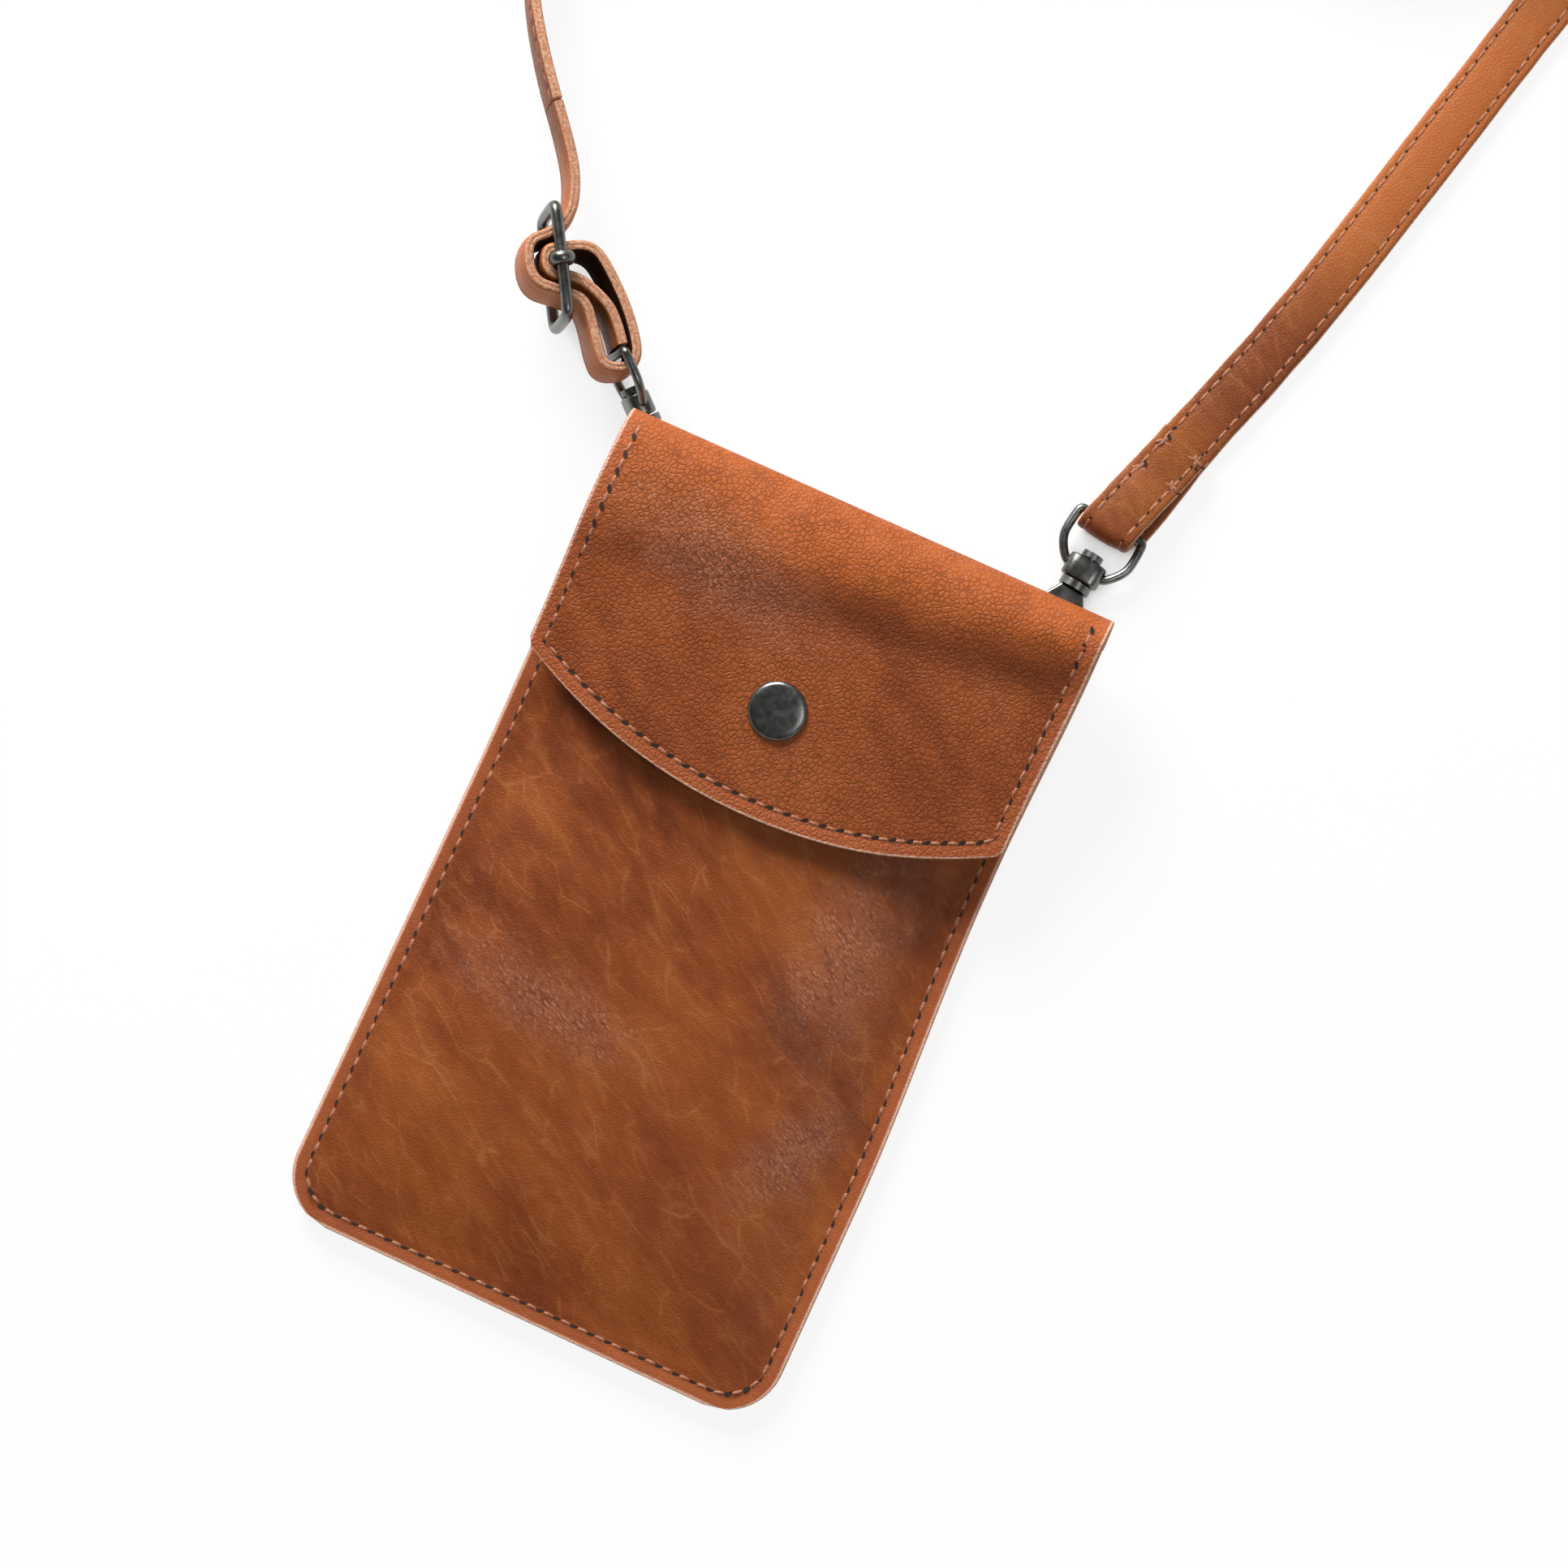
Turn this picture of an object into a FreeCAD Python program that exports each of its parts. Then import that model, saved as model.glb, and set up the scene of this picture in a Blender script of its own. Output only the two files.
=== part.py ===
"""A flap-over leather phone pouch with a snap, two swivel clips and a shoulder strap.

The pouch lies on its back on a table. X runs across it, Y from its bottom edge to its fold, Z up.
The origin is on the flat back. Lengths are millimetres and angles are degrees.
"""

import FreeCAD, Part
import math
import os
from types import SimpleNamespace

import Sketcher

V = FreeCAD.Vector
X_AXIS, Y_AXIS, Z_AXIS = V(1, 0, 0), V(0, 1, 0), V(0, 0, 1)

# Driving dimensions, one cell each
SIZES = {
    # pouch
    "pouch_width": 110.0,
    "pouch_height": 180.0,
    "bottom_corner_radius": 12.0,
    "leather": 1.3,
    "lining": 0.5,
    "ply_gap": 0.05,
    "seam_flange": 6.5,
    "pocket_ramp": 9.0,
    "pocket_depth": 5.2,
    "mouth_drop": 14.0,
    "bottom_ramp": 12.0,
    "lift_start": 8.0,
    "lift_radius": 140.0,
    "fold_radius": 6.4,
    # flap
    "flap_side_drop": 53.0,
    "flap_middle_drop": 67.0,
    "flap_corner_radius": 1.5,
    # stitching
    "stitch_inset": 3.2,
    "stitch_pitch": 4.0,
    "stitch_length": 2.8,
    "thread_radius": 0.35,
    # snap
    "snap_drop": 44.6,
    "snap_offset": -1.5,
    "cap_radius": 6.25,
    "cap_edge": 0.5,
    "cap_dome": 0.9,
    "cap_crown_radius": 4.6,
    "shank_radius": 1.5,
    "shank_clearance": 0.15,
    "socket_radius": 5.0,
    "socket_height": 1.5,
    "socket_web": 0.5,
    "socket_bore_clearance": 0.3,
    "stud_radius": 2.2,
    "stud_height": 1.0,
    "stud_base_radius": 4.4,
    "stud_base_height": 0.4,
    "post_radius": 4.6,
    "post_height": 0.6,
    # clip
    "clip_inset": 14.5,
    "clip_drop": 11.7,
    "clip_headroom": 4.7,
    "clip_wire": 2.8,
    "bow_radius": 5.15,
    "nose_rise": 2.0,
    "spine_rise": 7.2,
    "head_thickness": 4.0,
    "head_low": 9.6,
    "head_reach": 5.4,
    "head_step": 11.0,
    "head_inner": 1.6,
    "head_round": 0.6,
    "neck_half_width": 2.6,
    "collar_low": 16.2,
    "collar_height": 1.6,
    "collar_radius": 3.4,
    "swivel_gap": 0.3,
    "swivel_post_radius": 1.5,
    "swivel_bore_clearance": 0.2,
    "rivet_radius": 2.3,
    "rivet_height": 1.3,
    "pin_side": 3.0,
    "pin_height": 12.0,
    "pin_radius": 0.6,
    "pin_clearance": 0.1,
    "gate_tongue": 1.6,
    "gate_tongue_radius": 1.4,
    "gate_lever": 2.4,
    "gate_half_width": 1.1,
    "gate_clearance": 0.3,
    "gate_thumb": 1.4,
    "slot_clearance": 0.2,
    "slot_floor": 0.6,
    "slot_top": 14.4,
    "spring_leaf": 0.25,
    "spring_width": 1.2,
    # swivel eye
    "eye_width": 8.4,
    "eye_height": 5.0,
    "eye_thickness": 5.2,
    "eye_round": 1.2,
    "ring_wire": 1.9,
    "ring_clearance": 0.75,
    "ring_reach": 32.0,
    "ring_root": 20.6,
    "ring_corner_radius": 1.8,
    "ring_shoulder_radius": 5.0,
    # how each clip lies
    "right_clip_yaw": -7.0,
    "left_clip_yaw": 48.0,
    "left_clip_rise": 0.7,
    "left_clip_pitch": 10.4,
    "left_eye_roll": 74.5,
    "left_loop_pitch": 4.8,
    # leather hanger tabs
    "tab_width": 5.5,
    "tab_leather": 1.0,
    "tab_clearance": 0.45,
    "tab_length": 22.0,
    "tab_slack": 6.0,
    "tab_splay": 20.0,
    # strap
    "strap_width": 12.0,
    "strap_thickness": 2.4,
    "strap_floor_gap": 0.1,
    "strap_ring_gap": 0.15,
    "strap_joint_gap": 0.5,
    "strap_right_yaw": -18.0,
    "strap_turnback": 23.0,
    "strap_turnback_step": 7.0,
    "strap_turnback_seat": 14.0,
    "strap_end": 24.0,
    "coil_radius": 66.0,
    "coil_pitch": 5.2,
    "coil_across": -19.9,
    "coil_along": 203.0,
    # slider
    "slider_length": 25.5,
    "slider_wire": 2.0,
    "slider_clearance": 0.9,
    "slider_corner_radius": 3.0,
    "slider_along": 20.5,
    "slider_aside": 5.2,
    "slider_turn": 17.0,
    "slider_collar_radius": 1.7,
    "slider_collar_length": 3.2,
    "slider_collar_clearance": 0.05,
    # one overrun serves every cut
    "overrun": 2.0,
}

doc = FreeCAD.newDocument("phone_pouch")
sheet = doc.addObject("Spreadsheet::Sheet", "Sizes")
for row, (name, value) in enumerate(SIZES.items(), start=1):
    sheet.set("A%d" % row, name)
    sheet.set("B%d" % row, str(value))
    sheet.setAlias("B%d" % row, name)
doc.recompute()
mm = SimpleNamespace(**{name: float(getattr(sheet, name)) for name in SIZES})

pieces = []


# Small helpers

def keep(piece, label, placement=None):
    """Name a sub-part, place it and put it on the list of pieces to write."""
    piece.Label = label
    if placement is not None:
        piece.Placement = placement
    pieces.append(piece)
    return piece


def formed(label, shape, placement=None):
    """A sub-part whose form is worked out from the sheet by the functions below."""
    piece = doc.addObject("Part::Feature", label)
    piece.Shape = shape
    return keep(piece, label, placement)


def bound(kind, name, **expressions):
    """A primitive whose properties follow expressions on the sheet."""
    item = doc.addObject(kind, name)
    for prop, text in expressions.items():
        item.setExpression(prop, text)
    return item


def worth(names):
    """The number and the expression of a sum of sizes, such as 'stud_radius + shank_clearance'."""
    words = names.split(" + ")
    return sum(getattr(mm, word) for word in words), " + ".join("Sizes." + word for word in words)


def turned(label, corners, placement):
    """A body turned about its own Z axis from corners (radius, height), each a sum of sizes or 0."""
    body = doc.addObject("PartDesign::Body", label)
    plane = next(f for f in body.Origin.OriginFeatures if f.Role == "XZ_Plane")
    sketch = body.newObject("Sketcher::SketchObject", label + "_profile")
    sketch.AttachmentSupport = [(plane, "")]
    sketch.MapMode = "FlatFace"
    points = [V(*(0 if names == "0" else worth(names)[0] for names in corner), 0) for corner in corners]
    count = len(points)
    for number, point in enumerate(points):
        sketch.addGeometry(Part.LineSegment(point, points[(number + 1) % count]), False)
    for number in range(count):
        sketch.addConstraint(Sketcher.Constraint("Coincident", number, 2, (number + 1) % count, 1))
    for number, corner in enumerate(corners):
        for kind, names, axis in zip(("DistanceX", "DistanceY"), corner, (-2, -1)):
            if names == "0":
                sketch.addConstraint(Sketcher.Constraint("PointOnObject", number, 1, axis))
                continue
            amount, text = worth(names)
            held = sketch.addConstraint(Sketcher.Constraint(kind, -1, 1, number, 1, amount))
            sketch.setExpression("Constraints[%d]" % held, text)
    turn = body.newObject("PartDesign::Revolution", label + "_turn")
    turn.Profile = sketch
    turn.ReferenceAxis = (sketch, ["V_Axis"])
    return keep(body, label, placement)


def turn_about(axis, degrees):
    return FreeCAD.Rotation(axis, degrees)


def framed(origin, along_x, along_y):
    """A placement from its origin and the directions of its own X and Y."""
    x = V(along_x).normalize()
    z = x.cross(along_y).normalize()
    y = z.cross(x)
    return FreeCAD.Placement(FreeCAD.Matrix(
        x.x, y.x, z.x, origin.x, x.y, y.y, z.y, origin.y, x.z, y.z, z.z, origin.z, 0, 0, 0, 1))


# How much of the shorter run beside a corner its arc may take
RUN_SHARE = 0.45


def filled(points):
    """A flat face through points in order, closed."""
    return Part.Face(Part.makePolygon(list(points) + [points[0]]))


def rounded_route(points, wanted=None):
    """Straight runs joined by tangent arcs: (path parts, radii). A part is (start, end, middle or None).

    With no radii wanted, each arc is as large as its two runs allow.
    """
    parts, radii, at = [], [], points[0]
    for number, (before, corner, after) in enumerate(zip(points, points[1:], points[2:])):
        back, on = (before - corner), (after - corner)
        shorter = min(back.Length, on.Length)
        back.normalize()
        on.normalize()
        half_turn = (math.pi - back.getAngle(on)) / 2
        most = RUN_SHARE * shorter / math.tan(half_turn)
        bend = most if wanted is None else min(wanted[number], most)
        reach = bend * math.tan(half_turn)
        first, last = corner + back * reach, corner + on * reach
        inward = (back + on).normalize()
        middle = corner + inward * (bend / math.cos(half_turn) - bend)
        parts += [(at, first, None), (first, last, middle)]
        radii.append(bend)
        at = last
    parts.append((at, points[-1], None))
    return parts, radii


def route_edges(parts):
    edges = []
    for start, end, middle in parts:
        if middle is None:
            edges.append(Part.LineSegment(start, end).toShape())
        else:
            edges.append(Part.Arc(start, middle, end).toShape())
    return edges


def ribbon(parts, thickness):
    """A flat face of even thickness along a path that lies in the XY plane."""
    sides = []
    for side in (thickness / 2, -thickness / 2):
        edges = []
        for start, end, middle in parts:
            if middle is None:
                across = Z_AXIS.cross(end - start).normalize() * side
                edges.append(Part.LineSegment(start + across, end + across).toShape())
            else:
                centre = Part.Arc(start, middle, end).toShape().Curve.Center
                bend = (start - centre).Length
                left = (end - start).cross(middle - start).z < 0
                grown = (bend - side if not left else bend + side) / bend
                moved = [centre + (p - centre) * grown for p in (start, middle, end)]
                edges.append(Part.Arc(*moved).toShape())
        sides.append(edges)
    first, last = sides[0], sides[1]
    caps = [Part.LineSegment(a.firstVertex(True).Point, b.firstVertex(True).Point).toShape()
            for a, b in ((first[0], last[0]),)]
    caps += [Part.LineSegment(a.lastVertex(True).Point, b.lastVertex(True).Point).toShape()
             for a, b in ((first[-1], last[-1]),)]
    return Part.Face(Part.Wire(Part.__sortEdges__(first + last + caps)))


def report_route(label, parts, radii):
    length = sum(edge.Length for edge in route_edges(parts))
    print("%s: length %.1f mm, radii %s" % (label, length, " ".join("%.1f" % r for r in radii)))
    return length


def even_stations(parts, count):
    """(point, direction, share of the length) at even steps along a path."""
    edges = route_edges(parts)
    total = sum(edge.Length for edge in edges)
    places = []
    for number in range(count):
        left = total * number / (count - 1)
        for edge in edges:
            if left <= edge.Length or edge is edges[-1]:
                at = edge.getParameterByLength(min(left, edge.Length))
                places.append((edge.valueAt(at), edge.tangentAt(at), number / (count - 1)))
                break
            left -= edge.Length
    return places


def twisted_strap(parts, count, lean_from, lean_to, height_from, height_to):
    """A ruled loft of the strap's section along a path, leaning and rising evenly from end to end.

    A lean of 0 stands the strap on its edge and 90 lays it flat.
    """
    sections = []
    for point, direction, share in even_stations(parts, count):
        eased = share * share * (3 - 2 * share)
        lean = math.radians(lean_from + (lean_to - lean_from) * eased)
        across = Z_AXIS.cross(direction).normalize()
        wide = Z_AXIS * math.cos(lean) - across * math.sin(lean)
        thin = direction.cross(wide).normalize()
        middle = V(point.x, point.y, height_from + (height_to - height_from) * eased)
        if height_to < 0:
            middle.z = standing(lean)
        corners = [middle + wide * (mm.strap_width / 2 * a) + thin * (mm.strap_thickness / 2 * b)
                   for a, b in ((-1, -1), (1, -1), (1, 1), (-1, 1))]
        sections.append(Part.makePolygon(corners + corners[:1]))
    return Part.makeLoft(sections, True, True)


def standing(lean):
    """Height of the strap's middle when it leans on the table by an angle in radians."""
    reach = mm.strap_width / 2 * math.cos(lean) + mm.strap_thickness / 2 * math.sin(lean)
    return mm.strap_floor_gap + reach


# The pouch's back: flat on the table, then lifted at its top by the clips that lie under it

RING_RISE = mm.strap_floor_gap + mm.strap_thickness + mm.strap_ring_gap + mm.ring_wire / 2
BOTTOM, TOP = -mm.pouch_height / 2, mm.pouch_height / 2
CLIP_UP = TOP - mm.clip_drop


def lift_angle():
    """The slope at which the back, bent from where it leaves the table, clears the clips."""
    run, rise = CLIP_UP - mm.lift_start, RING_RISE + mm.clip_headroom
    spread = 2 * mm.lift_radius - rise
    return 2 * math.atan((run - math.sqrt(run * run - spread * rise)) / spread)


LIFT = lift_angle()
FLAT_RUN = mm.lift_start - BOTTOM
BEND_RUN = mm.lift_radius * LIFT
SLOPE_Y = mm.lift_start + mm.lift_radius * math.sin(LIFT)
SLOPE_Z = mm.lift_radius * (1 - math.cos(LIFT))
FOLD_RUN = (TOP - mm.fold_radius + mm.fold_radius * math.sin(LIFT) - SLOPE_Y) / math.cos(LIFT)
SLOPE = FreeCAD.Placement(V(0, SLOPE_Y, SLOPE_Z), turn_about(X_AXIS, math.degrees(LIFT)))
HALF_WIDTH = mm.pouch_width / 2


def back_frame(run):
    """Where the outer face of the back is at a run from its bottom edge: (Y, Z, slope angle)."""
    if run <= FLAT_RUN:
        return BOTTOM + run, 0, 0
    if run <= FLAT_RUN + BEND_RUN:
        angle = (run - FLAT_RUN) / mm.lift_radius
        rise = mm.lift_radius * (1 - math.cos(angle))
        return mm.lift_start + mm.lift_radius * math.sin(angle), rise, angle
    on = run - FLAT_RUN - BEND_RUN
    return SLOPE_Y + on * math.cos(LIFT), SLOPE_Z + on * math.sin(LIFT), LIFT


def on_back(x, run, height):
    """A point at a height over the back's outer face."""
    y, z, angle = back_frame(run)
    return V(x, y - height * math.sin(angle), z + height * math.cos(angle))


FOLD_AT = FLAT_RUN + BEND_RUN + FOLD_RUN
MOUTH_AT = FOLD_AT + mm.fold_radius - mm.mouth_drop
BEND_STEPS = 4


def outline_prism():
    """The pouch's rounded outline as a tall block that trims each ply."""
    corner, low, high = mm.bottom_corner_radius, BOTTOM, TOP
    reach = corner * math.sqrt(0.5)
    left, right = -HALF_WIDTH, HALF_WIDTH
    edges = [
        Part.LineSegment(V(left, high, 0), V(left, low + corner, 0)),
        Part.Arc(V(left, low + corner, 0), V(left + corner - reach, low + corner - reach, 0),
                 V(left + corner, low, 0)),
        Part.LineSegment(V(left + corner, low, 0), V(right - corner, low, 0)),
        Part.Arc(V(right - corner, low, 0), V(right - corner + reach, low + corner - reach, 0),
                 V(right, low + corner, 0)),
        Part.LineSegment(V(right, low + corner, 0), V(right, high, 0)),
        Part.LineSegment(V(right, high, 0), V(left, high, 0)),
    ]
    face = Part.Face(Part.Wire([edge.toShape() for edge in edges]))
    face.translate(V(0, 0, -mm.overrun))
    return face.extrude(V(0, 0, mm.lift_radius))


def ply_runs(last):
    """Runs at which a ply's sections stand, from the bottom edge to its last run."""
    bend = [FLAT_RUN + BEND_RUN * number / BEND_STEPS for number in range(BEND_STEPS + 1)]
    return [0] + bend + [last]


def flat_ply(low, high, last):
    """A ply that follows the back between two heights over its outer face."""
    sections = []
    for run in ply_runs(last):
        corners = [on_back(x, run, h) for x, h in (
            (-HALF_WIDTH, low), (HALF_WIDTH, low), (HALF_WIDTH, high), (-HALF_WIDTH, high))]
        sections.append(Part.makePolygon(corners + corners[:1]))
    return Part.makeLoft(sections, True, True).common(outline_prism())


# Half of the pocket's section: how far in from the ramp's foot, and how high, as shares
POCKET_SHARES = ((0.0, 0.0), (0.45, 0.55), (1.0, 0.9))
# Along the pouch: how far up the bottom ramp, and how much of the depth
BOTTOM_SHARES = ((0.0, 0.0), (0.45, 0.6), (1.0, 0.92))
CROWN_SHARE = 0.45


def swelling(run):
    """Share of the pocket's depth at a run from the bottom edge."""
    share = (run - mm.seam_flange) / mm.bottom_ramp
    known = BOTTOM_SHARES
    if share <= 0:
        return 0
    for (a, low), (b, high) in zip(known, known[1:]):
        if share <= b:
            return low + (high - low) * (share - a) / (b - a)
    return 1


def swelled_ply(low, high):
    """A ply with a flat seam flange and a raised middle, open at the pouch's mouth."""
    runs = [0] + [mm.seam_flange + share * mm.bottom_ramp for share, depth in BOTTOM_SHARES]
    runs += [mm.seam_flange + mm.bottom_ramp * 2] + ply_runs(MOUTH_AT)[1:]
    sections = []
    for run in runs:
        depth = mm.pocket_depth * swelling(run)
        half = [(HALF_WIDTH, 0)]
        half += [(HALF_WIDTH - mm.seam_flange - share * mm.pocket_ramp, depth * rise)
                 for share, rise in POCKET_SHARES]
        half.append((HALF_WIDTH * CROWN_SHARE, depth))
        line = [(-x, h) for x, h in half] + [(x, h) for x, h in reversed(half)]
        corners = [on_back(x, run, low + h) for x, h in line]
        corners += [on_back(x, run, high + h) for x, h in reversed(line)]
        sections.append(Part.makePolygon(corners + corners[:1]))
    return Part.makeLoft(sections, True, True).common(outline_prism())


# Heights of the plies over the back's outer face
BACK_LINING = mm.leather + mm.ply_gap
POCKET_FLOOR = BACK_LINING + mm.lining
FRONT_LINING = POCKET_FLOOR + mm.ply_gap
FRONT = FRONT_LINING + mm.lining + mm.ply_gap
FRONT_FACE = FRONT + mm.leather
FLAP_FACE = mm.fold_radius * 2
FLAP = FLAP_FACE - mm.leather
FLAP_LINING = FLAP - mm.ply_gap - mm.lining


def snap_hole(low, high):
    """A hole for a snap's shank through the plies between two heights of the lifted part."""
    hole = Part.makeCylinder(mm.shank_radius + mm.shank_clearance, high - low, V(*SNAP, low), Z_AXIS)
    hole.Placement = SLOPE.multiply(hole.Placement)
    return hole


SNAP = (mm.snap_offset, FOLD_RUN + mm.fold_radius - mm.snap_drop)
front_hole = snap_hole(0, FRONT_FACE + mm.pocket_depth + mm.overrun)
front_hole = front_hole.cut(flat_ply(-mm.overrun, POCKET_FLOOR + mm.overrun, FOLD_AT))

formed("back_panel", flat_ply(0, mm.leather, FOLD_AT))
formed("back_lining", flat_ply(BACK_LINING, POCKET_FLOOR, FOLD_AT))
formed("front_lining", swelled_ply(FRONT_LINING, FRONT_LINING + mm.lining).cut(front_hole))
formed("front_panel", swelled_ply(FRONT, FRONT_FACE).cut(front_hole))


# The flap: a ply parallel to the lifted part of the back, joined to it by the rolled fold

def flap_outline():
    """The flap's outline in the lifted plane, from the fold down to its curved lower edge."""
    top, side = FOLD_RUN, FOLD_RUN + mm.fold_radius - mm.flap_side_drop
    low = FOLD_RUN + mm.fold_radius - mm.flap_middle_drop
    left, right = V(-HALF_WIDTH, side, 0), V(HALF_WIDTH, side, 0)
    edges = [
        Part.LineSegment(V(-HALF_WIDTH, top, 0), left).toShape(),
        Part.Arc(left, V(0, low, 0), right).toShape(),
        Part.LineSegment(right, V(HALF_WIDTH, top, 0)).toShape(),
        Part.LineSegment(V(HALF_WIDTH, top, 0), V(-HALF_WIDTH, top, 0)).toShape(),
    ]
    return edges


def flap_ply(low, high):
    face = Part.Face(Part.Wire(flap_outline()))
    face.translate(V(0, 0, low))
    solid = face.extrude(V(0, 0, high - low))
    corners = [edge for edge in solid.Edges
               if len(edge.Vertexes) == 2 and abs(edge.Vertexes[0].Z - edge.Vertexes[1].Z) > mm.ply_gap
               and edge.BoundBox.YMax < FOLD_RUN - mm.flap_corner_radius]
    solid = solid.makeFillet(mm.flap_corner_radius, corners)
    hole = Part.makeCylinder(mm.shank_radius + mm.shank_clearance, high - low + 2 * mm.overrun,
                             V(*SNAP, low - mm.overrun), Z_AXIS)
    return solid.cut(hole)


def rolled_fold():
    """Half a tube of leather from the back's top edge round to the flap."""
    centre = V(-HALF_WIDTH, FOLD_RUN, mm.fold_radius)
    outer = Part.makeCylinder(mm.fold_radius, mm.pouch_width, centre, X_AXIS)
    inner = Part.makeCylinder(mm.fold_radius - mm.leather, mm.pouch_width, centre, X_AXIS)
    front_half = Part.makeBox(mm.pouch_width, mm.fold_radius * 2, mm.fold_radius * 2,
                              V(-HALF_WIDTH, FOLD_RUN - mm.fold_radius * 2, 0))
    return outer.cut(inner).cut(front_half)


formed("flap", flap_ply(FLAP, FLAP_FACE), SLOPE)
formed("flap_lining", flap_ply(FLAP_LINING, FLAP_LINING + mm.lining), SLOPE)
formed("flap_fold", rolled_fold(), SLOPE)


# Stitching: short lengths of thread that lie on the leather, a stitch inset from each edge

def stitch(middle, direction):
    start = middle - direction * (mm.stitch_length / 2)
    return Part.makeCylinder(mm.thread_radius, mm.stitch_length, start, direction)


def stitches_along(edges, lift):
    """Stitches at the pitch along edges of a flat path; lift moves a point onto the leather."""
    rods = []
    wire = Part.Wire(Part.__sortEdges__(edges))
    count = int(wire.Length / mm.stitch_pitch)
    for point in wire.discretize(Number=2 * count + 1)[1::2]:
        ends = []
        step = mm.stitch_length / 2
        near = min(wire.Edges, key=lambda edge: edge.distToShape(Part.Vertex(point))[0])
        along = near.tangentAt(near.Curve.parameter(point))
        for sign in (-1, 1):
            ends.append(lift(point + along * (step * sign)))
        rods.append(stitch((ends[0] + ends[1]) * 0.5, (ends[1] - ends[0]).normalize()))
    return Part.makeCompound(rods)


def seam_line():
    """The seam's line on the flattened pouch, X and run from the bottom: sides and rounded bottom."""
    inset = mm.stitch_inset
    side, corner = HALF_WIDTH - inset, mm.bottom_corner_radius - inset
    reach = corner * math.sqrt(0.5)
    line = [
        Part.LineSegment(V(-side, MOUTH_AT, 0), V(-side, inset + corner, 0)),
        Part.Arc(V(-side, inset + corner, 0), V(-side + corner - reach, inset + corner - reach, 0),
                 V(-side + corner, inset, 0)),
        Part.LineSegment(V(-side + corner, inset, 0), V(side - corner, inset, 0)),
        Part.Arc(V(side - corner, inset, 0), V(side - corner + reach, inset + corner - reach, 0),
                 V(side, inset + corner, 0)),
        Part.LineSegment(V(side, inset + corner, 0), V(side, MOUTH_AT, 0)),
    ]
    return [edge.toShape() for edge in line]


def flap_line():
    inset = mm.stitch_inset
    top, side = FOLD_RUN, FOLD_RUN + mm.fold_radius - mm.flap_side_drop + inset
    low = FOLD_RUN + mm.fold_radius - mm.flap_middle_drop + inset
    left, right = V(-HALF_WIDTH + inset, side, 0), V(HALF_WIDTH - inset, side, 0)
    return [
        Part.LineSegment(V(left.x, top, 0), left).toShape(),
        Part.Arc(left, V(0, low, 0), right).toShape(),
        Part.LineSegment(right, V(right.x, top, 0)).toShape(),
    ]


formed("seam_thread", stitches_along(
    seam_line(), lambda p: on_back(p.x, p.y, FRONT_FACE + mm.thread_radius)))
formed("flap_thread", stitches_along(
    flap_line(), lambda p: V(p.x, p.y, FLAP_FACE + mm.thread_radius)), SLOPE)


# The snap: a cap and socket on the flap, a stud and its post on the front

def snap_place(height, flipped=False):
    turn = turn_about(X_AXIS, 180) if flipped else FreeCAD.Rotation()
    return SLOPE.multiply(FreeCAD.Placement(V(*SNAP, height), turn))


FRONT_TOP = FRONT_FACE + mm.pocket_depth
SHANK_TO_SOCKET = "leather + ply_gap + lining"

turned("snap_cap", [
    ("0", SHANK_TO_SOCKET), ("cap_radius", SHANK_TO_SOCKET),
    ("cap_radius", SHANK_TO_SOCKET + " + cap_edge"),
    ("cap_crown_radius", SHANK_TO_SOCKET + " + cap_edge + cap_dome"),
    ("0", SHANK_TO_SOCKET + " + cap_edge + cap_dome"),
], snap_place(FLAP_LINING))
turned("snap_shank", [
    ("0", "0"), ("shank_radius", "0"), ("shank_radius", SHANK_TO_SOCKET), ("0", SHANK_TO_SOCKET),
], snap_place(FLAP_LINING))
turned("snap_socket", [
    ("0", "0"), ("socket_radius", "0"), ("socket_radius", "socket_height"),
    ("stud_radius + socket_bore_clearance", "socket_height"),
    ("stud_radius + socket_bore_clearance", "socket_web"), ("0", "socket_web"),
], snap_place(FLAP_LINING, flipped=True))
turned("snap_stud", [
    ("0", "0"), ("stud_base_radius", "0"), ("stud_base_radius", "stud_base_height"),
    ("stud_radius", "stud_base_height"), ("stud_radius", "stud_base_height + stud_height"),
    ("0", "stud_base_height + stud_height"),
], snap_place(FRONT_TOP))
turned("snap_post", [
    ("0", "0"), ("post_radius", "0"), ("post_radius", "post_height"), ("shank_radius", "post_height"),
    ("shank_radius", "post_height + lining + ply_gap + leather"),
    ("0", "post_height + lining + ply_gap + leather"),
], snap_place(FRONT_TOP - mm.leather - mm.ply_gap - mm.lining - mm.post_height))


# A clip in its own frame: the bow's centre is the origin, Y runs to the ring, Z is its thickness

def round_wire(parts, diameter):
    """A round wire along a path that starts along its first run."""
    start, end, middle = parts[0]
    section = Part.Wire(Part.Circle(start, end - start, diameter / 2).toShape())
    return Part.Wire(route_edges(parts)).makePipeShell([section], True, False)


def plate(points, low, high):
    return filled([V(x, y, low) for x, y in points]).extrude(V(0, 0, high - low))


COLLAR_TOP = mm.collar_low + mm.collar_height
EYE_LOW = COLLAR_TOP + mm.swivel_gap
EYE_TOP = EYE_LOW + mm.eye_height
PIN = V(-mm.pin_side, mm.pin_height, 0)
NOSE = V(-mm.bow_radius, mm.nose_rise, 0)


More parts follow.
